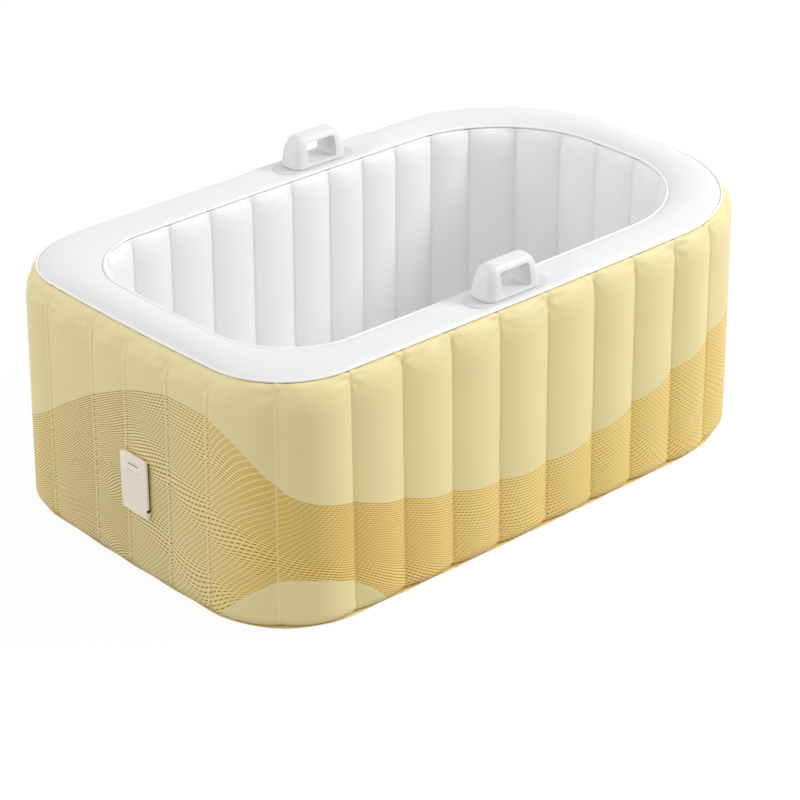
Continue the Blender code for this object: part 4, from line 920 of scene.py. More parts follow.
def shade_boxes(material, obj, boxes):
    """Tint a plastic inside small boxes of a kept solid, given in the part's frame."""
    tree = material.node_tree
    shader = next(node for node in tree.nodes if node.type == "BSDF_PRINCIPLED")
    color = shader.inputs["Base Color"].links[0].from_socket
    place = add_node(tree, "ShaderNodeTexCoord")
    to_local = obj.matrix_world.inverted()
    for centre, half, tone, edge in boxes:
        offset = add_node(tree, "ShaderNodeVectorMath", {0: place.outputs["Object"],
                                                         1: to_local @ Vector(centre)}, operation="SUBTRACT")
        span = add_node(tree, "ShaderNodeVectorMath", {0: offset.outputs[0]}, operation="ABSOLUTE")
        split = add_node(tree, "ShaderNodeSeparateXYZ", {0: span.outputs[0]})
        masks = [add_node(tree, "ShaderNodeMath", {0: split.outputs[axis], 1: -1 / edge, 2: half[axis] / edge},
                          operation="MULTIPLY_ADD", use_clamp=True).outputs[0] for axis in range(3)]
        both = add_node(tree, "ShaderNodeMath", {0: masks[0], 1: masks[1]}, operation="MULTIPLY")
        mask = add_node(tree, "ShaderNodeMath", {0: both.outputs[0], 1: masks[2]}, operation="MULTIPLY")
        mixed = add_node(tree, "ShaderNodeMix", {0: mask.outputs[0], 6: color, 7: tone}, data_type="RGBA")
        color = mixed.outputs[2]
    tree.links.new(color, shader.inputs["Base Color"])


def steel_material():
    """Zinc plated steel, drawn and tumbled: bright, with fine uneven streaks."""
    material, tree = new_material("zinc_plated_steel")
    place = add_node(tree, "ShaderNodeTexCoord")
    stretch = add_node(tree, "ShaderNodeMapping", {"Vector": place.outputs["Object"], "Scale": (1, 12, 12)})
    streak = add_node(tree, "ShaderNodeTexNoise", {"Vector": stretch.outputs[0], "Scale": 200.0, "Detail": 3.0})
    tint = add_node(tree, "ShaderNodeMix", {0: streak.outputs["Fac"], 6: linear("#C9CBCC"),
                                            7: linear("#A9ACAE")}, data_type="RGBA")
    gloss = add_node(tree, "ShaderNodeMapRange", {0: streak.outputs["Fac"], 3: 0.24, 4: 0.40})
    shader = add_node(tree, "ShaderNodeBsdfPrincipled", {
        "Base Color": tint.outputs[2], "Metallic": 1.0, "Roughness": gloss.outputs[0]})
    link_surface(tree, shader)
    return material


def rubber_material():
    """Moulded nitrile rubber: dull grey with a bloom."""
    return plastic("moulded_rubber", linear("#6C6D6E"), linear("#5A5B5C"), 0.62, 1.0, 0.2, 15, ior=1.52)


def edge_rounding(node, width, segments=3):
    """Round the sharp edges of a solid that is kept, by a modifier."""
    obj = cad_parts[node]
    weld = obj.modifiers.new("joined", "WELD")
    weld.merge_threshold = 0.00002
    bevel = obj.modifiers.new("rounded", "BEVEL")
    bevel.width = width
    bevel.segments = segments
    bevel.limit_method = "ANGLE"
    bevel.angle_limit = math.radians(35)
    bevel.use_clamp_overlap = True
    bevel.harden_normals = True


def dress_node(node, material, rounding=0.0):
    """Give a kept solid its finish, and round its edges."""
    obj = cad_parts[node]
    obj.data.materials.clear()
    obj.data.materials.append(material)
    obj.data.shade_smooth()
    if rounding:
        edge_rounding(node, rounding)
    else:
        split = obj.modifiers.new("edges", "EDGE_SPLIT")
        split.split_angle = math.radians(35)


# Pieces, an operator for each or for a group of like ones, with the functions that shape it

class TUB_OT_outer_wall(bpy.types.Operator):
    """Build the printed outer skin with its channels, welds and folds"""
    bl_idname = "tub.outer_wall"
    bl_label = "Outer Wall"

    def execute(self, context):
        heights = outer_heights()
        points = outer_points(context.scene.tub_wall)
        wall = make_ring_skin("outer_skin", OUTER, heights, points, True, outer_pale_weld_highlights())
        cup_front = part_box("pump_cup")[0].x
        cut_away(wall, rounded_block("cup_hole", (0.06, *PUMP_HOLE), PUMP_HOLE_RADIUS, 0,
                                     (cup_front - 0.01, PUMP_Y, PUMP_Z)))
        cut_away(wall, drain_drill(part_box("drain_spout")[0].x))
        finish_piece(wall, printed_film_material(context.scene.tub_colours), "tub", "printed_pvc",
                     "outer_wall")
        return {"FINISHED"}


def drain_drill(x):
    """Round tool that opens a skin for the drain."""
    low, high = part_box("drain_sleeve")
    bm = bmesh.new()
    bmesh.ops.create_cone(bm, cap_ends=True, segments=48, radius1=DRAIN_HOLE_RADIUS,
                          radius2=DRAIN_HOLE_RADIUS, depth=0.06)
    mesh = bpy.data.meshes.new("drain_hole")
    bm.to_mesh(mesh)
    bm.free()
    tool = object_from("drain_hole", mesh)
    tool.rotation_euler = (0, math.pi / 2, 0)
    tool.location = (x, (low.y + high.y) / 2, (low.z + high.z) / 2)
    return tool


def inner_points(settings):
    """The inner skin, fuller between its seams and soft where it turns under the deck."""
    z = inner_heights()[:, None]
    shares = INNER.shares[None, :]
    rise = np.clip((z - INNER_SHOULDER_Z) / INNER_DROP, 0, 1)
    tops = RIM_HEIGHT - 0.013 + 0.003 * np.sin(np.arange(CHANNEL_COUNT) * 1.7)
    tops = tops[INNER.nearest_seam()][None, :]
    welded = smooth_step(tops - z, -0.005, 0.006)
    crisp = np.abs(2 * shares - 1) ** 2.2
    soft = 0.5 + 0.5 * np.cos(2 * math.pi * shares)
    filled = 1 - 0.9 * smooth_step(0.090 - z, 0.0, 0.060)
    dip = settings.inner_swell * (1 - rise ** 4) * filled * (welded * crisp + (1 - welded) * soft)
    points = ring_points(INNER, z, dip - INNER_REACH * np.sqrt(1 - rise ** 2))
    aside = INNER.seam_distance()[None, :]
    drop = INNER_TOP - z
    groove = -settings.weld_depth * bell(aside, INNER_WELD_LINE_WIDTH) * welded
    dimple = -INNER_DIMPLE_DEPTH * np.exp(-(aside / DIMPLE_WIDTH) ** 2 - ((z - tops) / 0.012) ** 2)
    gather = unevenness(INNER, INNER.runs[None, :], z, 0.045, 0.3, 5.0) * bell(drop, GATHER_WIDTH)
    gather = gather * smooth_step(drop, 0.0, 0.006)
    sway = unevenness(INNER, INNER.runs[None, :], z, 0.16, 0.3, 2.0) * smooth_step(drop, 0.0, 0.05)
    relief = groove + dimple + settings.pucker_height * gather + SWAY_HEIGHT * sway
    return points - grid_normals(points) * relief[:, :, None]


def inner_heights():
    low = np.linspace(WALL_BOTTOM, INNER_SHOULDER_Z, 40)
    return np.concatenate([low, quarter_heights(INNER_SHOULDER_Z, INNER_TOP, 18)[1:]])


class TUB_OT_inner_wall(bpy.types.Operator):
    """Build the white inner skin with its channels"""
    bl_idname = "tub.inner_wall"
    bl_label = "Inner Wall"

    def execute(self, context):
        points = inner_points(context.scene.tub_wall)
        wall = make_ring_skin("inner_skin", INNER, inner_heights(), points, False)
        cut_away(wall, drain_drill(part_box("drain_sleeve")[0].x))
        finish_piece(wall, white_film_material(context.scene.tub_colours), "tub", "white_pvc", "inner_wall")
        return {"FINISHED"}


def handle_place(x, side):
    bow = SIDE_BOW * (1 - (x / (TUB_LENGTH / 2)) ** 2)
    return side * (TUB_WIDTH / 2 + bow - DECK_WIDTH / 2)


def deck_lift(settings, across, x, y):
    """Height of the deck over its seams: full between the handles, drawn down under their plates."""
    full = settings.deck_crown
    held = np.zeros_like(x)
    plate_end = PATCH_SIZE[0] / 2
    for _, handle_x, side in HANDLES:
        near = 1 - smooth_step(np.abs(x - handle_x), plate_end - 0.005, plate_end + DECK_HOLD_FADE)
        held = np.maximum(held, np.where(y * side > 0, near, 0))
    crown = full + (DECK_CROWN_AT_PLATES - full) * held
    rounded = (1 - (2 * across - 1) ** 2) ** 0.8
    flat_edge = np.clip(np.minimum(across, 1 - across) / 0.10, 0, 1)
    plain = np.sqrt(1 - (1 - flat_edge) ** 2)
    return crown * (rounded + (plain - rounded) * held)


class TUB_OT_deck(bpy.types.Operator):
    """Build the white deck between the two beads"""
    bl_idname = "tub.deck"
    bl_label = "Deck"

    def execute(self, context):
        across = (1 - np.cos(np.linspace(0, math.pi, 41))) / 2
        outer = OUTER.points - OUTER.normals * (OUTER_BEAD_RADIUS + GAP)
        inner = INNER.points + INNER.normals * (INNER_BEAD_RADIUS + GAP)
        flat = outer[None] + (inner - outer)[None] * across[:, None, None]
        lift = deck_lift(context.scene.tub_wall, across[:, None], flat[:, :, 0], flat[:, :, 1])
        runs = OUTER.runs[None, :]
        folds = unevenness(OUTER, runs, across[:, None], 0.060, 2.0, 9.0)
        edge = bell(across, DECK_EDGE_SHARE) + bell(1 - across, DECK_EDGE_SHARE)
        ends = np.sin(math.pi * across) ** 0.5
        lift = lift + DECK_FOLD_HEIGHT * folds * edge[:, None] * ends[:, None]
        points = np.concatenate([flat, (RIM_HEIGHT + lift)[:, :, None]], axis=2)
        deck = make_ring_skin("deck_skin", OUTER, across, points, True)
        finish_piece(deck, deck_painted_shade_material(context.scene.tub_colours), "tub", "white_pvc", "top_deck")
        return {"FINISHED"}


def bead_mesh(name, columns, radius):
    """Round piping along a ring of columns."""
    angles = np.linspace(0, 2 * math.pi, 13)[:-1]
    rings = []
    for angle in angles:
        ring = columns.points + columns.normals * (radius * math.cos(angle))
        height = np.full((columns.count, 1), RIM_HEIGHT + radius * math.sin(angle))
        rings.append(np.hstack([ring, height]))
    rings.append(rings[0])
    faces = ring_faces(len(rings), columns.count)
    total = len(angles) * columns.count
    faces = [tuple(corner % total for corner in face) for face in faces]
    return mesh_from(name, np.concatenate(rings[:-1]), faces)


class TUB_OT_beads(bpy.types.Operator):
    """Build the piping along the deck's two seams"""
    bl_idname = "tub.beads"
    bl_label = "Deck Piping"

    def execute(self, context):
        material = bead_material()
        for name, columns, radius in (("outer", OUTER, OUTER_BEAD_RADIUS), ("inner", INNER, INNER_BEAD_RADIUS)):
            bead = object_from(name + "_piping", bead_mesh(name + "_piping", columns, radius))
            finish_piece(bead, material, "tub", "bead_pvc", "deck_%s_bead" % name)
        return {"FINISHED"}


class TUB_OT_base_sheet(bpy.types.Operator):
    """Build the bottom sheet and its weld flange"""
    bl_idname = "tub.base_sheet"
    bl_label = "Base Sheet"

    def execute(self, context):
        reach = FOOT_REACH - FOOT_RADIUS + BASE_FLANGE - FLANGE_TRIM
        edge_wave = FLANGE_WAVE * (np.cos(2 * math.pi * OUTER.shares) - 1)
        outline = OUTER.points + OUTER.normals * (reach + edge_wave)[:, None]
        start = OUTER.points + OUTER.normals * (FOOT_REACH - FOOT_RADIUS - BASE_OVERLAP)
        rings = [start * share for share in BASE_RING_SHARES]
        steps = np.linspace(0, 1, FLANGE_RINGS)
        rings += [start + (outline - start) * share for share in steps]
        flat = np.array(rings)
        height = np.full((len(rings), OUTER.count, 1), BASE_SKIN)
        height[-1] -= 0.0004
        points = np.concatenate([flat, height], axis=2).reshape(-1, 3)
        faces = [tuple(reversed(face)) for face in ring_faces(len(rings), OUTER.count)]
        mesh = mesh_from("bottom_sheet", points, faces)
        drops = BASE_OVERLAP - steps * (BASE_FLANGE - FLANGE_TRIM + BASE_OVERLAP)
        drops = np.concatenate([np.zeros(len(BASE_RING_SHARES)), drops])
        write_run_map(mesh, OUTER, drops)
        write_seam_map(mesh, np.ones(len(points)), np.zeros(len(points)))
        kinds = np.repeat([1] * len(BASE_RING_SHARES) + [0] * (FLANGE_RINGS - 1), OUTER.count)
        mesh.polygons.foreach_set("material_index", kinds.astype(np.int32))
        middle = bmesh.new()
        middle.from_mesh(mesh)
        middle.verts.ensure_lookup_table()
        middle.faces.new([middle.verts[index] for index in range(OUTER.count)]).material_index = 1
        bmesh.ops.recalc_face_normals(middle, faces=middle.faces)
        middle.to_mesh(mesh)
        middle.free()
        sheet = thicken(object_from("bottom_sheet", mesh), BASE_SKIN - 0.0005, -1)
        kinds = np.zeros(len(sheet.data.polygons), dtype=np.int32)
        sheet.data.polygons.foreach_get("material_index", kinds)
        slopes = np.zeros(len(sheet.data.polygons) * 3)
        sheet.data.polygons.foreach_get("normal", slopes)
        # The sheet is laminated: dyed like the wall below, white above
        kinds[(kinds == 1) & (slopes[2::3] > 0.5)] = 2
        finish_piece(sheet, bpy.data.objects["outer_skin"].data.materials[0], "tub", "web_pvc", "base_sheet")
        sheet.data.materials.append(base_film_material(context.scene.tub_colours))
        sheet.data.materials.append(white_film_material(context.scene.tub_colours))
        sheet.data.polygons.foreach_set("material_index", kinds)
        return {"FINISHED"}


class TUB_OT_floor_cushion(bpy.types.Operator):
    """Build the air floor with its crosswise channels"""
    bl_idname = "tub.floor_cushion"
    bl_label = "Floor Cushion"

    def execute(self, context):
        mesh, welds = floor_mesh()
        cushion = object_from("air_floor", mesh)
        blow_up(cushion, welds)
        modifier = cushion.modifiers.new("smooth", "SUBSURF")
        modifier.levels = modifier.render_levels = 1
        settle(cushion)
        finish_piece(cushion, white_film_material(context.scene.tub_colours), "tub", "white_pvc",
                     "floor_cushion")
        return {"FINISHED"}


def floor_half_width(x, inset):
    length = TUB_LENGTH / 2 - DECK_WIDTH
    radius = np.where(x > 0, INNER_RADII[1], INNER_RADII[0]) - inset
    past = np.clip(np.abs(x) - (length - inset - radius), 0, radius)
    corner = radius - np.sqrt(radius ** 2 - past ** 2)
    return TUB_WIDTH / 2 - DECK_WIDTH - inset - corner + SIDE_BOW * (1 - (x / length) ** 2)


def floor_mesh():
    """Air floor: two skins welded round their edge and drawn together along ten cross seams."""
    inset = INNER_REACH + FLOOR_MARGIN
    half = TUB_LENGTH / 2 - DECK_WIDTH + END_BOW - inset
    ends = half * 0.95
    turn = np.linspace(0, math.pi / 2, FLOOR_END_ROWS + 1)
    along = np.concatenate([-half + (half - ends) * (1 - np.cos(turn[:-1])),
                            np.linspace(-ends, ends, FLOOR_CHANNEL_COUNT * FLOOR_CHANNEL_ROWS + 1),
                            half - (half - ends) * (1 - np.cos(turn[::-1][1:]))])
    across = np.sin(np.linspace(-math.pi / 2, math.pi / 2, 81))
    x = np.repeat(along[:, None], len(across), axis=1)
    width = floor_half_width(along, inset)[:, None]
    y = width * across[None, :]
    share = ((along + ends) / (2 * ends) * FLOOR_CHANNEL_COUNT) % 1.0
    swell = 1 - np.abs(2 * share - 1) ** 2.2
    inside = np.abs(along) < ends - 1e-6
    valley = FLOOR_VALLEY_SHARE + (1 - FLOOR_VALLEY_SHARE) * np.where(inside, swell, 0)
    past = np.clip((np.abs(along) - ends) / (half - ends), 0, 1)
    end_share = np.sqrt(1 - past ** 2)
    side = np.clip((1 - np.abs(across)) * width / FLOOR_EDGE_WIDTH, 0, 1)
    side_share = np.sqrt(1 - (1 - side) ** 2.2)
    wave = FLOOR_WAVE_HEIGHT * np.sin(y * 63 + np.sin(x * 17) * 2.0)
    top = WALL_BOTTOM + 0.0012 + (FLOOR_HEIGHT - 0.002) * (valley * end_share)[:, None] * side_share
    top = top + wave * side_share * end_share[:, None]
    rows, count = x.shape
    upper = np.stack([x, y, top], axis=2).reshape(-1, 3)
    lower = np.stack([x, y, np.full_like(x, WALL_BOTTOM + 0.0005)], axis=2).reshape(-1, 3)
    faces = []
    total = rows * count
    for row in range(rows - 1):
        for column in range(count - 1):
            here = row * count + column
            quad = (here, here + count, here + count + 1, here + 1)
            faces.append(quad)
            faces.append(tuple(total + corner for corner in reversed(quad)))
    rim = [row * count for row in range(rows)] + [(rows - 1) * count + column for column in range(1, count)]
    rim += [row * count + count - 1 for row in range(rows - 2, -1, -1)] + list(range(count - 2, 0, -1))
    for here, after in zip(rim, rim[1:] + rim[:1]):
        faces.append((here, total + here, total + after, after))
    welds = np.zeros((rows, count), dtype=bool)
    welds[FLOOR_END_ROWS:-FLOOR_END_ROWS:FLOOR_CHANNEL_ROWS] = True
    welds[:3] = welds[-3:] = True
    welds[:, :4] = welds[:, -4:] = True
    welds = np.concatenate([np.flatnonzero(welds), np.arange(total, 2 * total)])
    return mesh_from("air_floor", np.concatenate([upper, lower]), faces), welds


def blow_up(obj, welds):
    """Blow a closed skin up as simulated cloth, held at its welds, within its rise and drift."""
    start = np.zeros(len(obj.data.vertices) * 3)
    obj.data.vertices.foreach_get("co", start)
    obj.vertex_groups.new(name="welds").add([int(index) for index in welds], 1.0, "REPLACE")
    film = obj.modifiers.new("film", "CLOTH")
    film.point_cache.frame_start = 1
    film.point_cache.frame_end = AIR_STEPS
    film.collision_settings.use_collision = False
    film.settings.vertex_group_mass = "welds"
    film.settings.use_pressure = True
    film.settings.uniform_pressure_force = AIR_PRESSURE
    film.settings.shrink_min = -FILM_SLACK
    film.settings.effector_weights.gravity = 0
    for step in range(1, AIR_STEPS + 1):
        bpy.context.scene.frame_set(step)
    settle(obj)
    bpy.context.scene.frame_set(1)
    obj.vertex_groups.clear()
    after = np.zeros_like(start)
    obj.data.vertices.foreach_get("co", after)
    move = (after - start).reshape(-1, 3)
    aside = np.maximum(np.hypot(move[:, 0], move[:, 1]), 1e-9)
    move[:, :2] *= (FILM_DRIFT * np.tanh(aside / FILM_DRIFT) / aside)[:, None]
    move[:, 2] = FILM_RISE * np.tanh(move[:, 2] / FILM_RISE)
    obj.data.vertices.foreach_set("co", start + move.ravel())
    obj.data.update()


class TUB_OT_webs(bpy.types.Operator):
    """Build the strips that tie the two skins together"""
    bl_idname = "tub.webs"
    bl_label = "Webs"

    def execute(self, context):
        material = web_material()
        for channel in range(CHANNEL_COUNT):
            node = "web_%02d" % (channel + 1)
            strip = object_from("web_strip_%02d" % (channel + 1), web_mesh(context.scene.tub_wall, channel))
            thicken(strip, WEB_SKIN, 0)
            finish_piece(strip, material, "tub", "web_pvc", node)
        return {"FINISHED"}


def web_mesh(settings, channel):
    """Taut strip between two seams, its upper and lower edges drawn in a little."""
    outer = OUTER.seam_columns[channel]
    inner = INNER.seam_columns[channel]
    heights = np.linspace(FOOT_Z, SHOULDER_Z - 0.004, WEB_ROWS)
    middle = (heights[0] + heights[-1]) / 2
    swell = outer_swell(settings, OUTER.flat_shares[outer])
    inner_reach = INNER_REACH - settings.inner_swell - SKIN - WEB_TAB
    points = []
    for z in heights:
        reach = float(outer_reach(np.array(z))) - swell - SKIN - WEB_TAB
        start = OUTER.points[outer] + OUTER.normals[outer] * reach
        stop = INNER.points[inner] - INNER.normals[inner] * inner_reach
        for share in np.linspace(0, 1, WEB_COLUMNS):
            place = start + (stop - start) * share
            draw = WEB_DRAW * math.sin(math.pi * share)
            squeeze = 1 - draw / (heights[-1] - middle)
            points.append((place[0], place[1], middle + (z - middle) * squeeze))
    faces = []
    for row in range(WEB_ROWS - 1):
        for column in range(WEB_COLUMNS - 1):
            here = row * WEB_COLUMNS + column
            faces.append((here, here + 1, here + WEB_COLUMNS + 1, here + WEB_COLUMNS))
    return mesh_from("web_strip", points, faces)


# Handles

def rounded_outline(length, depth, radius, steps):
    outline = []
    for x_side, y_side, start in ((1, 1, 0), (-1, 1, 90), (-1, -1, 180), (1, -1, 270)):
        for step in range(steps + 1):
            angle = math.radians(start + 90 * step / steps)
            outline.append((x_side * (length / 2 - radius) + radius * math.cos(angle),
                            y_side * (depth / 2 - radius) + radius * math.sin(angle)))
    return outline


def loft(name, sections):
    """Closed form through a row of sections with flat ends."""
    count = len(sections[0])
    points = [point for section in sections for point in section]
    faces = ring_faces(len(sections), count)
    faces.append(tuple(reversed(range(count))))
    faces.append(tuple(range(len(points) - count, len(points))))
    return mesh_from(name, points, faces)


def grip_mesh(name):
    """Flared skirt that draws in to a crowned bar."""
    sections = []
    for rise in np.concatenate([np.linspace(0, 0.035, 7), np.linspace(0.05, 1, 38)]):
        flare = float(np.interp(rise, HANDLE_RISE_SHARES, HANDLE_FLARE_SHARES))
        crown = float(np.interp(rise, HANDLE_RISE_SHARES, HANDLE_CROWN_SHARES))
        drawn_in = HANDLE_DEPTHS[1] * crown
        under = 1 - min(HANDLE_HEIGHT * rise / HANDLE_FOOT_RADIUS, 1)
        drawn_in += 2 * HANDLE_FOOT_RADIUS * (1 - math.sqrt(1 - under ** 2))
        length = HANDLE_LENGTHS[1] + (HANDLE_LENGTHS[0] - HANDLE_LENGTHS[1]) * flare - drawn_in
        depth = HANDLE_DEPTHS[1] + (HANDLE_DEPTHS[0] - HANDLE_DEPTHS[1]) * flare - drawn_in
        outline = rounded_outline(length, depth, HANDLE_CORNER_SHARE * depth, 10)
        sections.append([(x, y, HANDLE_HEIGHT * rise) for x, y in outline])
    return loft(name, sections)


def soften(obj, voxel, rounds):
    """Give a cut form the rounded edges of a moulding."""
    remesh = obj.modifiers.new("moulded", "REMESH")
    remesh.mode = "VOXEL"
    remesh.voxel_size = voxel
    remesh.use_smooth_shade = True
    smooth = obj.modifiers.new("softened", "SMOOTH")
    smooth.factor = 0.5
    smooth.iterations = rounds
    return settle(obj)


class TUB_OT_handles(bpy.types.Operator):
    """Build the two moulded carrying handles and their welded plates"""
    bl_idname = "tub.handles"
    bl_label = "Handles"

    def execute(self, context):
        material = moulded_pvc_material(context.scene.tub_colours)
        film = plate_painted_shade_material(context.scene.tub_colours)
        for place, x, side in HANDLES:
            y = handle_place(x, side)
            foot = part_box("handle_grip_" + place)[0].z
            grip = object_from("grip_" + place, grip_mesh("grip_" + place))
            grip.location = (x, y, foot)
            gap = rounded_block("finger_gap", (FINGER_GAP[0], 0.1, FINGER_GAP[1]), FINGER_GAP_RADIUS, 1,
                                (x, y, foot + FINGER_GAP_SILL + FINGER_GAP[1] / 2))
            cut_away(grip, gap)
            soften(grip, MOULD_VOXEL, MOULD_ROUNDS)
            finish_piece(grip, material, "tub", "moulded_pvc", "handle_grip_" + place)
            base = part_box("handle_patch_" + place)[0].z
            plate = object_from("plate_" + place, plate_mesh("plate_" + place))
            plate.location = (x, y, base)
            finish_piece(plate, film, "tub", "moulded_pvc", "handle_patch_" + place)
        return {"FINISHED"}


def plate_mesh(name):
    """Thin plate with round ends and an edge that thins out to its weld."""
    length, depth, thickness = PATCH_SIZE
    sections = []
    for inset, height in ((0.0, 0.0), (0.0, 0.25), (0.0012, 0.6), (0.0035, 0.88), (0.0070, 1.0)):
        outline = rounded_outline(length - 2 * inset, depth - 2 * inset, depth / 2 - inset - 0.0001, 16)
        sections.append([(x, y, thickness * height) for x, y in outline])
    return loft(name, sections)


class TUB_OT_pump_station(bpy.types.Operator):
    """Finish the pump's cup, flap, face and blower"""
    bl_idname = "tub.pump_station"
    bl_label = "Pump Station"

    def execute(self, context):
        tone = tuple(context.scene.tub_colours.fittings)
        shell = abs_material("moulded_abs_warm_white", tone, darker(tone, 0.965), 0.34)
        flap = abs_material("moulded_abs_flap_painted_shade", tone, darker(tone, 0.97), 0.32)
        low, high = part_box("pump_door")
        middle = (low.y + high.y) / 2
        # Painted shade in the grip slot, under the ridge and in the notch at the side
        shade_boxes(flap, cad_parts["pump_door"], (
            ((low.x + 0.0012, middle, high.z - 0.0240), (0.003, 0.0172, 0.0015), linear("#6E6459"), 0.0003),
            ((low.x, middle, high.z - 0.0394), (0.002, 0.0240, 0.0009), linear("#A1978A"), 0.0005),
            ((low.x + 0.003, low.y, low.z + 0.0215), (0.008, 0.0036, 0.0042), linear("#1C1A18"), 0.0006)))
        frame_painted_shade = abs_material("moulded_abs_frame_painted_shade", darker(tone, 0.93), darker(tone, 0.90), 0.45)
        top = (low.z + high.z + 0.022) / 2
        # Painted shade in the step between the flap's edge and the frame, and in the notch at the side
        shade_boxes(frame_painted_shade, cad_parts["pump_bezel"], (
            ((low.x, low.y, top), (0.02, 0.0040, high.z + 0.002 - top), linear("#5A5650"), 0.0006),
            ((low.x, middle - 0.016, high.z), (0.02, 0.0300, 0.0030), linear("#7E7A72"), 0.0020),
            ((low.x, low.y, low.z + 0.0215), (0.02, 0.0060, 0.0042), linear("#1C1A18"), 0.0006)))
        grey = abs_material("moulded_abs_grey", linear("#9FA2A4"), linear("#8F9294"), 0.42)
        dark = abs_material("moulded_abs_black", linear("#2B2C2E"), linear("#232426"), 0.45)
        steel = steel_material()
        rubber = rubber_material()
        web = web_material()
        for node, material, rounding in (
                ("pump_cup", shell, 0.0), ("pump_bezel", frame_painted_shade, 0.0007), ("pump_door", flap, 0.0012),
                ("pump_knob", shell, 0.0006), ("pump_face", grey, 0.0), ("blower_drum", grey, 0.0),
                ("pump_motor", steel, 0.0008), ("pump_door_pin", steel, 0.0), ("impeller", shell, 0.0),
                ("intake_grille", dark, 0.0003), ("power_socket", dark, 0.0003),
                ("check_valve", rubber, 0.0004), ("pump_weld_frame", web, 0.0)):
            dress_node(node, material, rounding)
        return {"FINISHED"}


class TUB_OT_drain(bpy.types.Operator):
    """Finish the drain's sleeve, spout, cap and plug"""
    bl_idname = "tub.drain"
    bl_label = "Drain"

    def execute(self, context):
        tone = tuple(context.scene.tub_colours.fittings)
        moulded = moulded_pvc_material(context.scene.tub_colours)
        cap = abs_material("moulded_abs_cap", tone, darker(tone, 0.965), 0.36)
        rubber = rubber_material()
        for node, material, rounding in (("drain_sleeve", moulded, 0.0005), ("drain_spout", moulded, 0.0005),
                                         ("drain_cap", cap, 0.0005), ("drain_plug", rubber, 0.0005)):
            dress_node(node, material, rounding)
        return {"FINISHED"}


# Stage

def seen_share(tree):
    """1 for what the eye sees straight, in a reflection or through something, 0 for stray light."""
    path = add_node(tree, "ShaderNodeLightPath")
    seen = path.outputs["Is Camera Ray"]
    for kind in ("Is Glossy Ray", "Is Transmission Ray"):
        seen = add_node(tree, "ShaderNodeMath", {0: seen, 1: path.outputs[kind]},
                        operation="MAXIMUM").outputs[0]
    return seen


def stage_floor_material():
    """Seamless paper: white to the eye and to reflections, with the shadow of what stands on it."""
    material, tree = new_material("seamless_paper")
    share = add_node(tree, "ShaderNodeMath", {0: seen_share(tree), 1: PAPER_GLOW_SHARE},
                     operation="MULTIPLY")
    matte = add_node(tree, "ShaderNodeBsdfDiffuse", {"Color": linear("#BDBDBB")})
    glow = add_node(tree, "ShaderNodeEmission", {"Color": (1, 1, 1, 1), "Strength": PAPER_GLOW})
    mixed = add_node(tree, "ShaderNodeMixShader", {0: share.outputs[0], 1: matte.outputs[0],
                                                   2: glow.outputs[0]})
    link_surface(tree, mixed)
    return material


def make_world():
    """White to the eye, and an even grey light on the object."""
    world = bpy.data.worlds.new("studio")
    world.use_nodes = True
    tree = world.node_tree
    tree.nodes.clear()
    strength = add_node(tree, "ShaderNodeMapRange", {0: seen_share(tree), 3: WORLD_LEVEL, 4: 1.0})
    back = add_node(tree, "ShaderNodeBackground", {"Color": (1, 1, 1, 1), "Strength": strength.outputs[0]})
    add_node(tree, "ShaderNodeOutputWorld", {"Surface": back.outputs[0]})
    bpy.context.scene.world = world


def aimed_object(name, data, target, turn, lift, distance):
    """Lamp or camera that looks at a target from a turn round it and a lift above it, in degrees."""
    a, e = math.radians(turn), math.radians(lift)
    back = Vector((math.sin(a) * math.cos(e), -math.cos(a) * math.cos(e), math.sin(e)))
    obj = object_from(name, data)
    obj.location = Vector(target) + back * distance
    obj.rotation_mode = "QUATERNION"
    obj.rotation_quaternion = back.to_track_quat("Z", "Y")
    return obj


def add_lamp(name, turn, lift, distance, size, power):
    """Square soft box that looks at the middle of the tub."""
    data = bpy.data.lights.new(name, "AREA")
    data.shape = "SQUARE"
    data.size = size
    data.energy = power
    aimed_object(name, data, LAMP_TARGET, turn, lift, distance)


def make_camera():
    """Long lens at the place that gives the reference view."""
    data = bpy.data.cameras.new("reference_view")
    data.lens = CAMERA_LENS
    data.sensor_width = 36.0
    bpy.context.scene.camera = aimed_object("reference_view", data, CAMERA_TARGET, CAMERA_TURN, CAMERA_LIFT,
                                            CAMERA_DISTANCE)


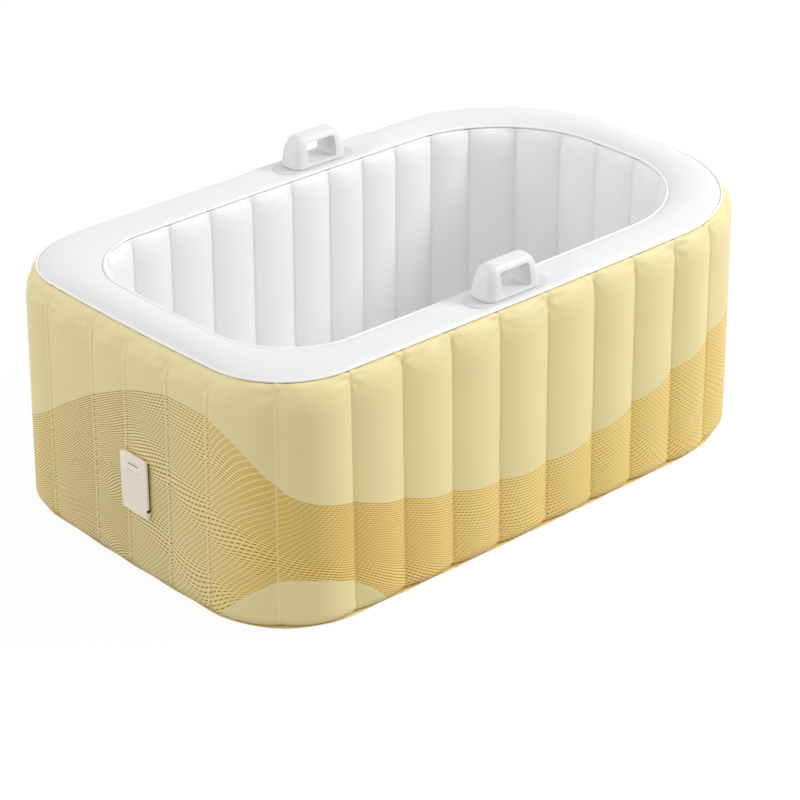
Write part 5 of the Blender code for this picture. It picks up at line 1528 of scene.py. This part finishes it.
class TUB_OT_stage(bpy.types.Operator):
    """Set up the camera, the floor and the studio light"""
    bl_idname = "tub.stage"
    bl_label = "Stage"

    def execute(self, context):
        context.scene.view_settings.view_transform = "Standard"
        corners = [(-30, -30, 0), (30, -30, 0), (30, 30, 0), (-30, 30, 0)]
        floor = object_from("paper_floor", mesh_from("paper_floor", corners, [(0, 1, 2, 3)], smooth=False))
        floor.location.z = -0.0005
        floor.data.materials.append(stage_floor_material())
        make_world()
        for lamp in LAMPS:
            add_lamp(*lamp)
        make_camera()
        return {"FINISHED"}


class TUB_PT_panel(bpy.types.Panel):
    """Settings and steps of the inflatable bathtub"""
    bl_idname = "TUB_PT_panel"
    bl_label = "Inflatable Bathtub"
    bl_space_type = "VIEW_3D"
    bl_region_type = "UI"
    bl_category = "Bathtub"

    def draw(self, context):
        for group in (context.scene.tub_wall, context.scene.tub_colours):
            column = self.layout.column(align=True)
            for name in group.__annotations__:
                column.prop(group, name)
        column = self.layout.column(align=True)
        for operator in OPERATORS:
            column.operator(operator.bl_idname)


OPERATORS = (TUB_OT_stage, TUB_OT_outer_wall, TUB_OT_inner_wall, TUB_OT_deck, TUB_OT_beads,
             TUB_OT_base_sheet, TUB_OT_floor_cushion, TUB_OT_webs, TUB_OT_handles, TUB_OT_pump_station,
             TUB_OT_drain)
CLASSES = (TubWallSettings, TubColourSettings, *OPERATORS, TUB_PT_panel)


def register():
    for item in CLASSES:
        bpy.utils.register_class(item)
    bpy.types.Scene.tub_wall = bpy.props.PointerProperty(type=TubWallSettings)
    bpy.types.Scene.tub_colours = bpy.props.PointerProperty(type=TubColourSettings)


def unregister():
    del bpy.types.Scene.tub_colours
    del bpy.types.Scene.tub_wall
    for item in reversed(CLASSES):
        bpy.utils.unregister_class(item)


def main():
    register()
    bpy.ops.tub.stage()
    bpy.ops.tub.outer_wall()
    bpy.ops.tub.inner_wall()
    bpy.ops.tub.deck()
    bpy.ops.tub.beads()
    bpy.ops.tub.base_sheet()
    bpy.ops.tub.floor_cushion()
    bpy.ops.tub.webs()
    bpy.ops.tub.handles()
    bpy.ops.tub.pump_station()
    bpy.ops.tub.drain()


if __name__ == "__main__":
    main()
